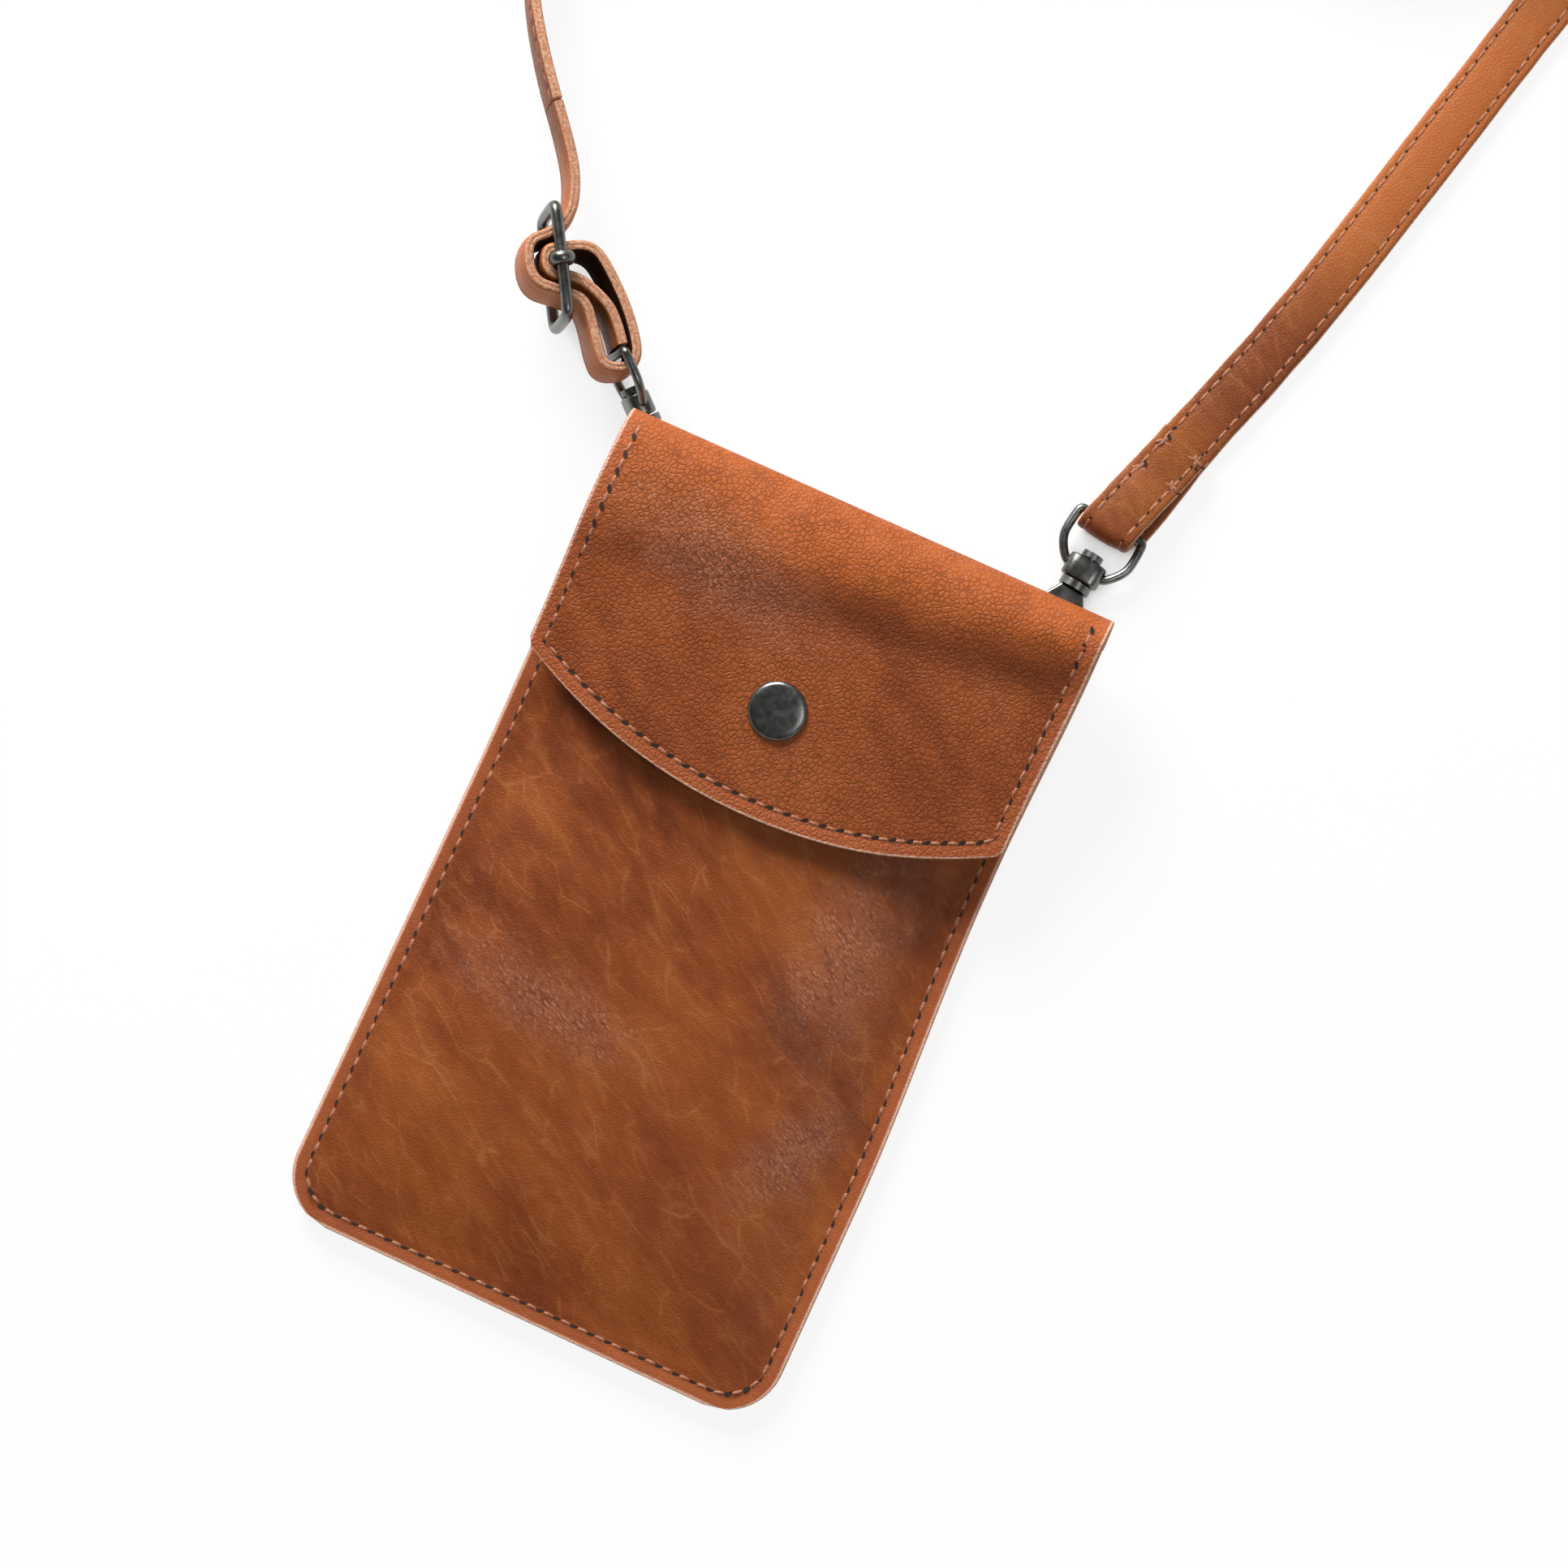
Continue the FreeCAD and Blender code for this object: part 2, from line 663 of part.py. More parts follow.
def hook_shape():
    bow, wire = mm.bow_radius, mm.clip_wire
    parts = [
        (NOSE, V(-bow, 0, 0), None),
        (V(-bow, 0, 0), V(bow, 0, 0), V(0, -bow, 0)),
        (V(bow, 0, 0), V(bow, mm.spine_rise + wire / 2, 0), None),
    ]
    spine_out, spine_in = bow + wire / 2, bow - wire / 2
    head = plate([
        (spine_out, mm.spine_rise), (spine_out, mm.head_low), (mm.neck_half_width, mm.collar_low),
        (-mm.neck_half_width, mm.collar_low), (-mm.head_reach, mm.head_step),
        (-mm.head_reach, mm.head_low), (mm.head_inner, mm.head_low), (spine_in, mm.spine_rise),
    ], -mm.head_thickness / 2, mm.head_thickness / 2)
    rims = [edge for edge in head.Edges if edge.BoundBox.ZLength < mm.head_round]
    head = head.makeFillet(mm.head_round, rims)
    slot_half = mm.gate_tongue / 2 + mm.slot_clearance
    slot = Part.makeBox(mm.head_reach + mm.overrun - mm.slot_floor, mm.slot_top - mm.head_low + mm.overrun,
                        slot_half * 2, V(-mm.head_reach - mm.overrun, mm.head_low - mm.overrun, -slot_half))
    pin_hole = Part.makeCylinder(mm.pin_radius, mm.head_thickness, PIN - Z_AXIS * (mm.head_thickness / 2))
    collar = Part.makeCylinder(mm.collar_radius, mm.collar_height, V(0, mm.collar_low, 0), Y_AXIS)
    post = Part.makeCylinder(mm.swivel_post_radius, EYE_TOP + mm.swivel_gap - COLLAR_TOP,
                             V(0, COLLAR_TOP, 0), Y_AXIS)
    rivet = Part.makeCylinder(mm.rivet_radius, mm.rivet_height, V(0, EYE_TOP + mm.swivel_gap, 0), Y_AXIS)
    body = round_wire(parts, wire).fuse([head.cut(slot).cut(pin_hole), collar, post, rivet])
    return body.removeSplitter()


def gate_shape():
    tip = NOSE + Y_AXIS * mm.gate_clearance
    along = (tip - PIN)
    reach = along.Length
    along.normalize()
    across = V(along.y, -along.x, 0) * mm.gate_half_width
    low_start = PIN + along * (mm.pin_height - mm.head_low + mm.gate_clearance * 2)
    tongue = Part.makeCylinder(mm.gate_tongue_radius, mm.gate_tongue, PIN - Z_AXIS * (mm.gate_tongue / 2))

    def bar(start, end, thickness):
        corners = [start + across, end + across, end - across, start - across]
        return filled([p - Z_AXIS * (thickness / 2) for p in corners]).extrude(V(0, 0, thickness))

    end = PIN + along * (reach - mm.gate_clearance)
    thumb_at = low_start + along * (mm.gate_thumb * 2) - across
    if across.x > 0:
        outward = across * (-1 / mm.gate_half_width)
    else:
        outward = across * (1 / mm.gate_half_width)
        thumb_at = low_start + along * (mm.gate_thumb * 2) + across
    nub = filled([p - Z_AXIS * (mm.gate_lever / 2) for p in (
        thumb_at - along * mm.gate_thumb, thumb_at + along * mm.gate_thumb,
        thumb_at + outward * mm.gate_thumb,
    )]).extrude(V(0, 0, mm.gate_lever))
    solid = tongue.fuse([bar(PIN, end, mm.gate_tongue), bar(low_start, end, mm.gate_lever), nub])
    hole = Part.makeCylinder(mm.pin_radius + mm.pin_clearance, mm.head_thickness,
                             PIN - Z_AXIS * (mm.head_thickness / 2))
    return solid.cut(hole).removeSplitter()


def spring_shape():
    """A leaf that runs from the slot's floor to the gate."""
    top = V(-mm.slot_floor - mm.spring_leaf, mm.slot_top - mm.spring_leaf, 0)
    low = V(PIN.x + mm.gate_half_width + mm.slot_clearance, mm.head_low + mm.gate_clearance, 0)
    across = (low - top).cross(Z_AXIS).normalize() * (mm.spring_leaf / 2)
    corners = [top + across, low + across, low - across, top - across]
    half = Z_AXIS * (mm.spring_width / 2)
    return filled([p - half for p in corners]).extrude(half * 2)


RING_HALF = mm.strap_width / 2 + mm.ring_clearance + mm.ring_wire / 2


def ring_shape():
    """A closed ring like a D: a straight bar for the strap, and a bow that passes through the block."""
    low, high = mm.ring_root, mm.ring_reach
    points = [V(0, high, 0), V(RING_HALF, high, 0), V(RING_HALF, low, 0), V(-RING_HALF, low, 0),
              V(-RING_HALF, high, 0), V(0, high, 0)]
    corner, shoulder = mm.ring_corner_radius, mm.ring_shoulder_radius
    return round_wire(rounded_route(points, [corner, shoulder, shoulder, corner])[0], mm.ring_wire)


def make_eye(label, placement):
    """The swivel eye: a rounded block with a bore for the hook's post, and its strap ring."""
    block = bound("Part::Box", label + "_block", Length="Sizes.eye_width", Width="Sizes.eye_height",
                  Height="Sizes.eye_thickness")
    block.Placement.Base = V(-mm.eye_width / 2, EYE_LOW, -mm.eye_thickness / 2)
    doc.recompute()
    soft = doc.addObject("Part::Fillet", label + "_soft")
    soft.Base = block
    soft.Edges = [(number + 1, mm.eye_round, mm.eye_round) for number in range(len(block.Shape.Edges))]
    bore = bound("Part::Cylinder", label + "_bore",
                 Radius="Sizes.swivel_post_radius + Sizes.swivel_bore_clearance",
                 Height="Sizes.eye_height + 2 * Sizes.overrun")
    bore.Placement = FreeCAD.Placement(V(0, EYE_LOW - mm.overrun, 0), turn_about(X_AXIS, -90))
    ring = doc.addObject("Part::Feature", label + "_ring")
    ring.Shape = ring_shape()
    joined = doc.addObject("Part::Fuse", label + "_joined")
    joined.Base, joined.Tool = soft, ring
    bored = doc.addObject("Part::Cut", label)
    bored.Base, bored.Tool = joined, bore
    return keep(bored, label, placement)


def make_clip(side, placement, eye_placement):
    """One swivel clip: hook, gate, its pin and spring, and the eye."""
    formed(side + "_hook", hook_shape(), placement)
    formed(side + "_gate", gate_shape(), placement)
    pin = bound("Part::Cylinder", side + "_gate_pin",
                Radius="Sizes.pin_radius", Height="Sizes.head_thickness")
    keep(pin, side + "_gate_pin",
         placement.multiply(FreeCAD.Placement(PIN - Z_AXIS * (mm.head_thickness / 2), FreeCAD.Rotation())))
    formed(side + "_gate_spring", spring_shape(), placement)
    make_eye(side + "_eye", eye_placement)


# The right clip lies flat with its ring in the strap's turned end, just off the table
CLIP_SIDE = HALF_WIDTH - mm.clip_inset
RIGHT = FreeCAD.Placement(V(CLIP_SIDE, CLIP_UP, RING_RISE), turn_about(Z_AXIS, mm.right_clip_yaw))
LEFT_TURN = turn_about(Z_AXIS, mm.left_clip_yaw).multiply(turn_about(X_AXIS, mm.left_clip_pitch))
LEFT = FreeCAD.Placement(V(-CLIP_SIDE, CLIP_UP, RING_RISE + mm.left_clip_rise), LEFT_TURN)
LEFT_EYE = LEFT.multiply(FreeCAD.Placement(V(0, 0, 0), turn_about(Y_AXIS, -mm.left_eye_roll)))

make_clip("right", RIGHT, RIGHT)
make_clip("left", LEFT, LEFT_EYE)


# Hanger tabs: a leather strip folded round each bow and sewn under the lifted back

def tab_frame(sign, clip):
    """Parallel to the lifted back, splayed outwards and level with the wire of the clip's bow."""
    splay = math.radians(mm.tab_splay)
    along = SLOPE.Rotation.multVec(V(sign * math.sin(splay), math.cos(splay), 0))
    up = SLOPE.Rotation.multVec(Z_AXIS)
    foot = clip.Rotation.inverted().multVec(along * -1)
    wire = clip.Rotation.multVec(V(foot.x, foot.y, 0).normalize() * mm.bow_radius)
    return framed(clip.Base + up * wire.dot(up), along, up)


def make_tab(label, sign, clip):
    """A folded strip: X along it with the bow's centre at the origin, Y its height, Z its width."""
    frame = tab_frame(sign, clip)
    inner = mm.clip_wire / 2 + mm.tab_clearance
    mean = inner + mm.tab_leather / 2
    half = mm.tab_width / 2
    tip = mm.tab_clearance - math.sqrt((mm.bow_radius - mm.clip_wire / 2) ** 2 - half ** 2)
    end = tip + mm.tab_leather / 2
    seat = frame.inverse().multVec(SLOPE.Base).y - mm.ply_gap - mm.tab_leather / 2
    joined = seat - mm.tab_leather - mm.ply_gap
    parting = -mm.bow_radius - inner
    points = [V(-mm.tab_length, seat, 0), V(end, seat, 0), V(end, -mean, 0), V(parting, -mean, 0),
              V(parting - mm.tab_slack, joined, 0), V(-mm.tab_length, joined, 0)]
    parts, radii = rounded_route(points, [inner] * len(points))
    strip = ribbon(parts, mm.tab_leather)
    strip.translate(V(0, 0, -half))
    formed(label, strip.extrude(V(0, 0, mm.tab_width)), frame)


make_tab("right_tab", 1, RIGHT)
make_tab("left_tab", -1, LEFT)


# The strap's right end: turned round the ring and sewn back on itself, then flat on the table

def flat_heading(degrees):
    angle = math.radians(degrees)
    return V(-math.sin(angle), math.cos(angle), 0)


RIGHT_RING = RIGHT.multVec(V(0, mm.ring_reach, 0))
RIGHT_BAR = RIGHT.Rotation.multVec(X_AXIS)
RIGHT_ON = flat_heading(mm.strap_right_yaw)


def right_end_shape():
    """The turned end, X along the strap from the ring's bar and Y up, spread along the bar."""
    around = mm.ring_wire / 2 + mm.strap_ring_gap + mm.strap_thickness / 2
    low, high = -around, around
    seat = low + mm.strap_thickness + mm.ply_gap
    points = [V(mm.strap_end, low, 0), V(-around, low, 0), V(-around, high, 0),
              V(mm.strap_turnback_step, high, 0), V(mm.strap_turnback_seat, seat, 0),
              V(mm.strap_turnback, seat, 0)]
    parts, radii = rounded_route(points)
    report_route("strap right end", parts, radii)
    face = ribbon(parts, mm.strap_thickness)
    upright = framed(RIGHT_RING, RIGHT_ON, Z_AXIS)
    face.Placement = upright
    slant = RIGHT_BAR.dot(RIGHT_ON.cross(Z_AXIS))
    across = RIGHT_BAR * (mm.strap_width / slant)
    face.translate(across * -0.5)
    return face.extrude(across)


RING_FOOT = V(RIGHT_RING.x, RIGHT_RING.y, 0)
COIL = RING_FOOT + V(mm.coil_across, mm.coil_along, 0)
COIL_SIDE = COIL + V(mm.coil_radius + mm.coil_pitch, 0, 0)
COIL_FOOT = COIL + V(-mm.coil_pitch / 2, -mm.coil_radius - mm.coil_pitch / 2, 0)


def between(start, end, shares):
    """Points of a route by shares of the way from its start to its end, and of that length aside."""
    on = end - start
    aside = Z_AXIS.cross(on)
    return [start + on * along + aside * across for along, across in shares]


# The strap lies flat from under the turned end, then turns onto its edge and runs into the coil
FLAT_SHARES = ((0.1007, -0.0067), (0.281, -0.0186), (0.513, -0.0216), (0.7441, -0.0233))
TWIST_SHARES = ((0.7441, -0.0233), (0.8709, -0.0223), (1.0, 0.0))
# From the coil's foot round to the left, and down to the slider
LEFT_SHARES = ((0.0, 0.0), (0.1634, -0.131), (0.3211, -0.2754), (0.5084, -0.4042), (0.7209, -0.4377),
               (0.8946, -0.3521), (0.9815, -0.1766), (1.0, 0.0))


def right_run_shape():
    parts, radii = rounded_route(between(RING_FOOT, COIL_SIDE, FLAT_SHARES))
    report_route("strap right run", parts, radii)
    face = ribbon(parts, mm.strap_width)
    face.translate(V(0, 0, mm.strap_floor_gap))
    strip = face.extrude(V(0, 0, mm.strap_thickness))
    # the turned end stops along the bar's direction, and the run starts there
    start = RIGHT_RING + RIGHT_ON * (mm.strap_end + mm.strap_joint_gap)
    side = mm.strap_width * 2
    back = Part.makeBox(side * 2, side, side, V(-side, -side, -side / 2))
    back.Placement = FreeCAD.Placement(V(start.x, start.y, 0), RIGHT.Rotation)
    return strip.cut(back)


formed("strap_right_end", right_end_shape())
formed("strap_right_run", right_run_shape())

TWIST_STEPS, LEFT_STEPS, GAP_STEPS = 13, 41, 400
twist_parts, twist_radii = rounded_route(between(RING_FOOT, COIL_SIDE, TWIST_SHARES))
report_route("strap twist", twist_parts, twist_radii)
formed("strap_twist", twisted_strap(twist_parts, TWIST_STEPS, 90, 0, 0, -1))


# The coil: two arms that spiral in side by side, and an S where they meet in the middle

def coil_parts():
    """Half turns about two centres a pitch apart, from the right side in to the S and out below."""
    inner, pitch = mm.coil_radius, mm.coil_pitch

    def at(x, y):
        return COIL + V(x, y, 0)

    outer, low = inner + pitch / 2, pitch / 2
    foot = math.sqrt(0.5) * outer
    return [
        (at(inner + pitch, 0), at(-inner, 0), at(low, outer)),
        (at(-inner, 0), at(0, 0), at(-inner / 2, -inner / 2)),
        (at(0, 0), at(inner, 0), at(inner / 2, inner / 2)),
        (at(inner, 0), at(-low, -outer), at(-low + foot, -foot)),
    ]


def least_gap(parts, thickness):
    """The least space between turns of the coil, measured on points along it."""
    places = even_stations(parts, GAP_STEPS)
    length = sum(edge.Length for edge in route_edges(parts))
    near = mm.strap_width / length
    least = length
    for number, (point, direction, share) in enumerate(places):
        for other, heading, place in places[number + 1:]:
            if place - share > near:
                least = min(least, (other - point).Length)
    return least - thickness


coil = coil_parts()
report_route("strap coil", coil, [])
print("strap coil: least gap to itself %.2f mm" % least_gap(coil, mm.strap_thickness))
coil_face = ribbon(coil, mm.strap_thickness)
coil_face.translate(V(0, 0, mm.strap_floor_gap))
formed("strap_coil", coil_face.extrude(V(0, 0, mm.strap_width)))


# The left end: woven through the slider, round the ring and back to the slider's bar

LEFT_RING = LEFT.multVec(V(0, mm.ring_reach, 0))
LOOP_TURN = turn_about(Z_AXIS, mm.left_clip_yaw).multiply(turn_about(X_AXIS, mm.left_loop_pitch))
LOOP_AXES = [LOOP_TURN.multVec(axis) for axis in (X_AXIS, Y_AXIS, Z_AXIS)]
ROLL = math.radians(mm.left_eye_roll)
LOOP_ASIDE = LOOP_AXES[0] * -math.sin(ROLL) + LOOP_AXES[2] * math.cos(ROLL)
SLIDER_TURN = math.radians(mm.slider_turn)
SLIDER_ON = LOOP_AXES[1] * -math.cos(SLIDER_TURN) + LOOP_ASIDE * math.sin(SLIDER_TURN)
SLIDER_ASIDE = LOOP_AXES[1] * math.sin(SLIDER_TURN) + LOOP_ASIDE * math.cos(SLIDER_TURN)
SLIDER_MIDDLE = LEFT_RING + LOOP_AXES[1] * mm.slider_along + LOOP_ASIDE * mm.slider_aside
# the slider's own frame: X towards the ring, Y to the outer side, Z across the strap
SLIDER = framed(SLIDER_MIDDLE, SLIDER_ON, SLIDER_ASIDE)

# Route of the strap through the slider, as shares of its length from its bar, in the slider's frame
LOOP_SHARES = (
    (-1.333, -0.153), (-0.706, -0.208), (-0.384, -0.153), (-0.243, 0.039), (-0.196, 0.251),
    (0.141, 0.251), (0.235, 0.016), (0.322, -0.173), (0.725, -0.227), (0.902, -0.275), (0.890, -0.561),
    (0.510, -0.533), (-0.129, -0.290), (-0.098, 0.098), (0.098, 0.098), (0.114, -0.110),
    (0.306, -0.322), (0.494, -0.420),
)
LOOP_ROUTE = [V(along, aside, 0) * mm.slider_length for along, aside in LOOP_SHARES]


def loop_shape():
    parts, radii = rounded_route(LOOP_ROUTE)
    report_route("strap left loop", parts, radii)
    face = ribbon(parts, mm.strap_thickness)
    face.translate(V(0, 0, -mm.strap_width / 2))
    return face.extrude(V(0, 0, mm.strap_width))


SLIDER_RAIL = mm.strap_width / 2 + mm.slider_clearance + mm.slider_wire / 2


def slider_frame_shape():
    """A rounded oblong of wire, closed on itself, in the plane of the strap's width."""
    half = mm.slider_length / 2 - mm.slider_wire / 2
    rail, corner = SLIDER_RAIL, mm.slider_corner_radius
    reach = corner * math.sqrt(0.5)

    def at(x, z):
        return V(x, 0, z)

    edges = []
    for sx, sz in ((1, 1), (-1, 1), (-1, -1), (1, -1)):
        before, after = at(sx * half, sz * (rail - corner)), at(sx * (half - corner), sz * rail)
        bend = at(sx * (half - corner + reach), sz * (rail - corner + reach))
        if sx * sz < 0:
            before, after = after, before
        edges.append(Part.Arc(before, bend, after).toShape())
    runs = []
    for number, edge in enumerate(edges):
        following = edges[(number + 1) % len(edges)]
        runs += [edge, Part.LineSegment(edge.lastVertex().Point, following.firstVertex().Point).toShape()]
    path = Part.Wire(runs)
    start = edges[0].firstVertex().Point
    section = Part.Wire(Part.Circle(start, edges[0].tangentAt(edges[0].FirstParameter),
                                    mm.slider_wire / 2).toShape())
    return path.makePipeShell([section], True, False)


def make_slider_bar():
    """The middle bar, with a collar at each end that wraps the frame's rail."""
    parts = []
    for name, sign in (("top", 1), ("low", -1)):
        collar = bound("Part::Cylinder", "slider_collar_" + name, Radius="Sizes.slider_collar_radius",
                       Height="Sizes.slider_collar_length")
        collar.Placement = FreeCAD.Placement(V(-mm.slider_collar_length / 2, 0, sign * SLIDER_RAIL),
                                             turn_about(Y_AXIS, 90))
        parts.append(collar)
    bar = bound("Part::Cylinder", "slider_bar_rod", Radius="Sizes.slider_wire / 2",
                Height="Sizes.strap_width + 2 * Sizes.slider_clearance + Sizes.slider_wire")
    bar.Placement.Base = V(0, 0, -SLIDER_RAIL)
    joined = doc.addObject("Part::MultiFuse", "slider_bar_joined")
    joined.Shapes = parts + [bar]
    bores = []
    for name, sign in (("top", 1), ("low", -1)):
        bore = bound("Part::Cylinder", "slider_bore_" + name,
                     Radius="Sizes.slider_wire / 2 + Sizes.slider_collar_clearance",
                     Height="Sizes.slider_collar_length + 2 * Sizes.overrun")
        bore.Placement = FreeCAD.Placement(
            V(-mm.slider_collar_length / 2 - mm.overrun, 0, sign * SLIDER_RAIL), turn_about(Y_AXIS, 90))
        bores.append(bore)
    holes = doc.addObject("Part::MultiFuse", "slider_bar_holes")
    holes.Shapes = bores
    bored = doc.addObject("Part::Cut", "slider_bar")
    bored.Base, bored.Tool = joined, holes
    return keep(bored, "slider_bar", SLIDER)


formed("strap_left_loop", loop_shape(), SLIDER)
formed("slider_frame", slider_frame_shape(), SLIDER)
make_slider_bar()


# How far along the left run the strap starts to lean
LEAN_SHARE = 0.6


def left_run_shape():
    """From the coil's foot to the loop's start: upright on the table, then leaning and lifted."""
    start = SLIDER.multVec(LOOP_ROUTE[0])
    heading = SLIDER.multVec(LOOP_ROUTE[1]) - start
    start -= heading.normalize() * mm.strap_joint_gap
    points = between(COIL_FOOT, V(start.x, start.y, 0), LEFT_SHARES)
    parts, radii = rounded_route(points)
    print("left route", [(round(q.x, 2), round(q.y, 2)) for q in points])
    report_route("strap left run", parts, radii)
    wide = SLIDER.Rotation.multVec(Z_AXIS)
    lean = 90 - math.degrees(wide.getAngle(V(wide.x, wide.y, 0)))
    print("strap left run: leans %.1f at the loop, %.1f high" % (lean, start.z))
    sections = []
    for point, direction, share in even_stations(parts, LEFT_STEPS):
        late = max(0, (share - LEAN_SHARE) / (1 - LEAN_SHARE))
        eased = late * late * (3 - 2 * late)
        across = Z_AXIS.cross(direction).normalize()
        tilt = math.radians(lean * eased)
        up = Z_AXIS * math.cos(tilt) + across * math.sin(tilt)
        if late == 1:
            up = wide
        thin = direction.cross(up).normalize()
        rise = standing(0) + (start.z - standing(0)) * eased
        middle = V(point.x, point.y, rise)
        corners = [middle + up * (mm.strap_width / 2 * a) + thin * (mm.strap_thickness / 2 * b)
                   for a, b in ((-1, -1), (1, -1), (1, 1), (-1, 1))]
        sections.append(Part.makePolygon(corners + corners[:1]))
    return Part.makeLoft(sections, True, True)


formed("strap_left_run", left_run_shape())


# Every piece is sound before any is written
doc.recompute()
for item in doc.Objects:
    if "Invalid" in item.State or "Error" in item.State:
        raise RuntimeError("%s did not rebuild: %s" % (item.Label, item.State))
for piece in pieces:
    if piece.Shape.isNull() or not piece.Shape.isValid():
        raise RuntimeError("%s is not a sound solid" % piece.Label)

os.makedirs("parts", exist_ok=True)
for piece in pieces:
    piece.Shape.exportStep("parts/%s.step" % piece.Label)
    box = piece.Shape.BoundBox
    print("%-18s %3d solids %9.1f mm3  x %.1f..%.1f  y %.1f..%.1f  z %.2f..%.2f" % (
        piece.Label, len(piece.Shape.Solids), piece.Shape.Volume,
        box.XMin, box.XMax, box.YMin, box.YMax, box.ZMin, box.ZMax))
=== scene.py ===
# %% [markdown]
# # A leather phone pouch, dressed in Blender
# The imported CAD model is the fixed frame: an upright pouch with a snap flap, two swivel clips and a long strap.
# It lies on its back on a table. X runs across it, Y from its bottom edge to its fold and Z up, in metres.
# The hooks, the gates and the inner parts of the snap stay as CAD solids with a plated finish. Everything soft is
# built again here, as hide, suede and thread, and so are the rings, the slider, the springs and the snap's cap.

import functools
from math import copysign, cos, exp, pi, radians, sin, sqrt

import bpy
from mathutils import Matrix, Vector, noise


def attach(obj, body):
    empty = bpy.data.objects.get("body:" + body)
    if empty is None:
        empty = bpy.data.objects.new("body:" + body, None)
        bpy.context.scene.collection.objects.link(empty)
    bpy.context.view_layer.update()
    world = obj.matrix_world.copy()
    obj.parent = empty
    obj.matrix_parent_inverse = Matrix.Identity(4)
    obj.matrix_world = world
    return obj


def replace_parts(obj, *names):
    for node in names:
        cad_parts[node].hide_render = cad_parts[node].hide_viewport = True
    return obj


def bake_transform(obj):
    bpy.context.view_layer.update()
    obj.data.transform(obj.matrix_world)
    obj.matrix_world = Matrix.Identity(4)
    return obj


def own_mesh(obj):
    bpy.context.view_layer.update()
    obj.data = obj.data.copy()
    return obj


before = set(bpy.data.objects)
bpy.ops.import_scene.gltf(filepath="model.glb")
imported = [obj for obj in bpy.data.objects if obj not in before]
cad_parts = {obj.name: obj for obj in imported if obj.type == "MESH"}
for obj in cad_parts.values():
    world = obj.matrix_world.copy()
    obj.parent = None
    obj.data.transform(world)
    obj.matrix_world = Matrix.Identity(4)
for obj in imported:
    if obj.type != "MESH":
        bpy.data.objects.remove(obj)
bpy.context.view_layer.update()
scene = bpy.context.scene
scene.view_settings.view_transform = "Standard"
MM = 0.001
UP = Vector((0, 0, 1))


def fresh(operator, **settings):
    """The object that an operator adds, with nothing else selected."""
    bpy.ops.object.select_all(action="DESELECT")
    operator(**settings)
    return bpy.context.object


def smooth(degrees=50):
    """Shades the selected piece smooth, with its sharper edges kept."""
    bpy.ops.object.shade_smooth_by_angle(angle=radians(degrees))


def axes(*ways):
    """The turn that takes X, Y and Z to three directions."""
    return Matrix(ways).transposed().to_4x4()


# %% [markdown]
# The photograph looks almost straight down, with the pouch turned in the picture and the strap running out of it
# at the upper right. The camera stands at the picture's own angle, a little towards the pouch's lower right edge,
# because that edge shows its thickness. A long lens keeps the sides nearly parallel, as they are in the photograph.

# %% Camera
PICTURE_RIGHT = Vector((0.9107, 0.4131, 0))
PICTURE_UP = Vector((-0.4131, 0.9107, 0))
LOOK_AT = Vector((5.2, 32.4, 8)) * MM
CAMERA_DISTANCE, LENS = 0.9, 100.2
LEAN_RIGHT, LEAN_DOWN = 0.05, 0.1

camera = fresh(bpy.ops.object.camera_add)
towards = (UP + PICTURE_RIGHT * LEAN_RIGHT - PICTURE_UP * LEAN_DOWN).normalized()
level = (PICTURE_RIGHT - towards * PICTURE_RIGHT.dot(towards)).normalized()
place = Matrix.Translation(LOOK_AT + towards * CAMERA_DISTANCE)
camera.matrix_world = place @ axes(level, towards.cross(level), towards)
camera.data.lens = LENS
scene.camera = camera
print("camera at", [round(c, 3) for c in camera.location])

# %% [markdown]
# The strap is one long leather ribbon. It leaves the right ring lying flat, turns onto its edge, is wound into a
# coil outside the picture and comes back on its edge to the slider at the left ring. Its line is one NURBS spline
# with the points of the CAD route, and the ribbon follows the points that Blender reads from that spline.

# %% Strap route
def nurbs(name, corners, steps, closed=False):
    """A curve object with one smooth line that has these control points."""
    curve = bpy.data.curves.new(name, "CURVE")
    curve.dimensions, curve.resolution_u = "3D", steps
    spline = curve.splines.new("NURBS")
    spline.points.add(len(corners) - 1)
    for point, corner in zip(spline.points, corners):
        point.co = (*corner, 1)
    spline.order_u = 3
    spline.use_cyclic_u, spline.use_endpoint_u = closed, not closed
    made = bpy.data.objects.new(name, curve)
    scene.collection.objects.link(made)
    return made


def spline_points(corners, steps=10):
    """The points that Blender reads from a smooth open line."""
    line = nurbs("line", corners, steps)
    mesh = bpy.data.meshes.new_from_object(line)
    points = [v.co.copy() for v in mesh.vertices]
    bpy.data.curves.remove(line.data)  # takes the object with it
    bpy.data.meshes.remove(mesh)
    return points


COIL_ROW = 313.06  # the middles of the coil's turns are on this line


def turn_points(middle, radius, first, last, count):
    """Control points of one turn of the coil, in degrees from first to last."""
    angles = [radians(first + (last - first) * i / count) for i in range(1, count)]
    return [(middle + radius * cos(a), COIL_ROW + radius * sin(a), 0) for a in angles]


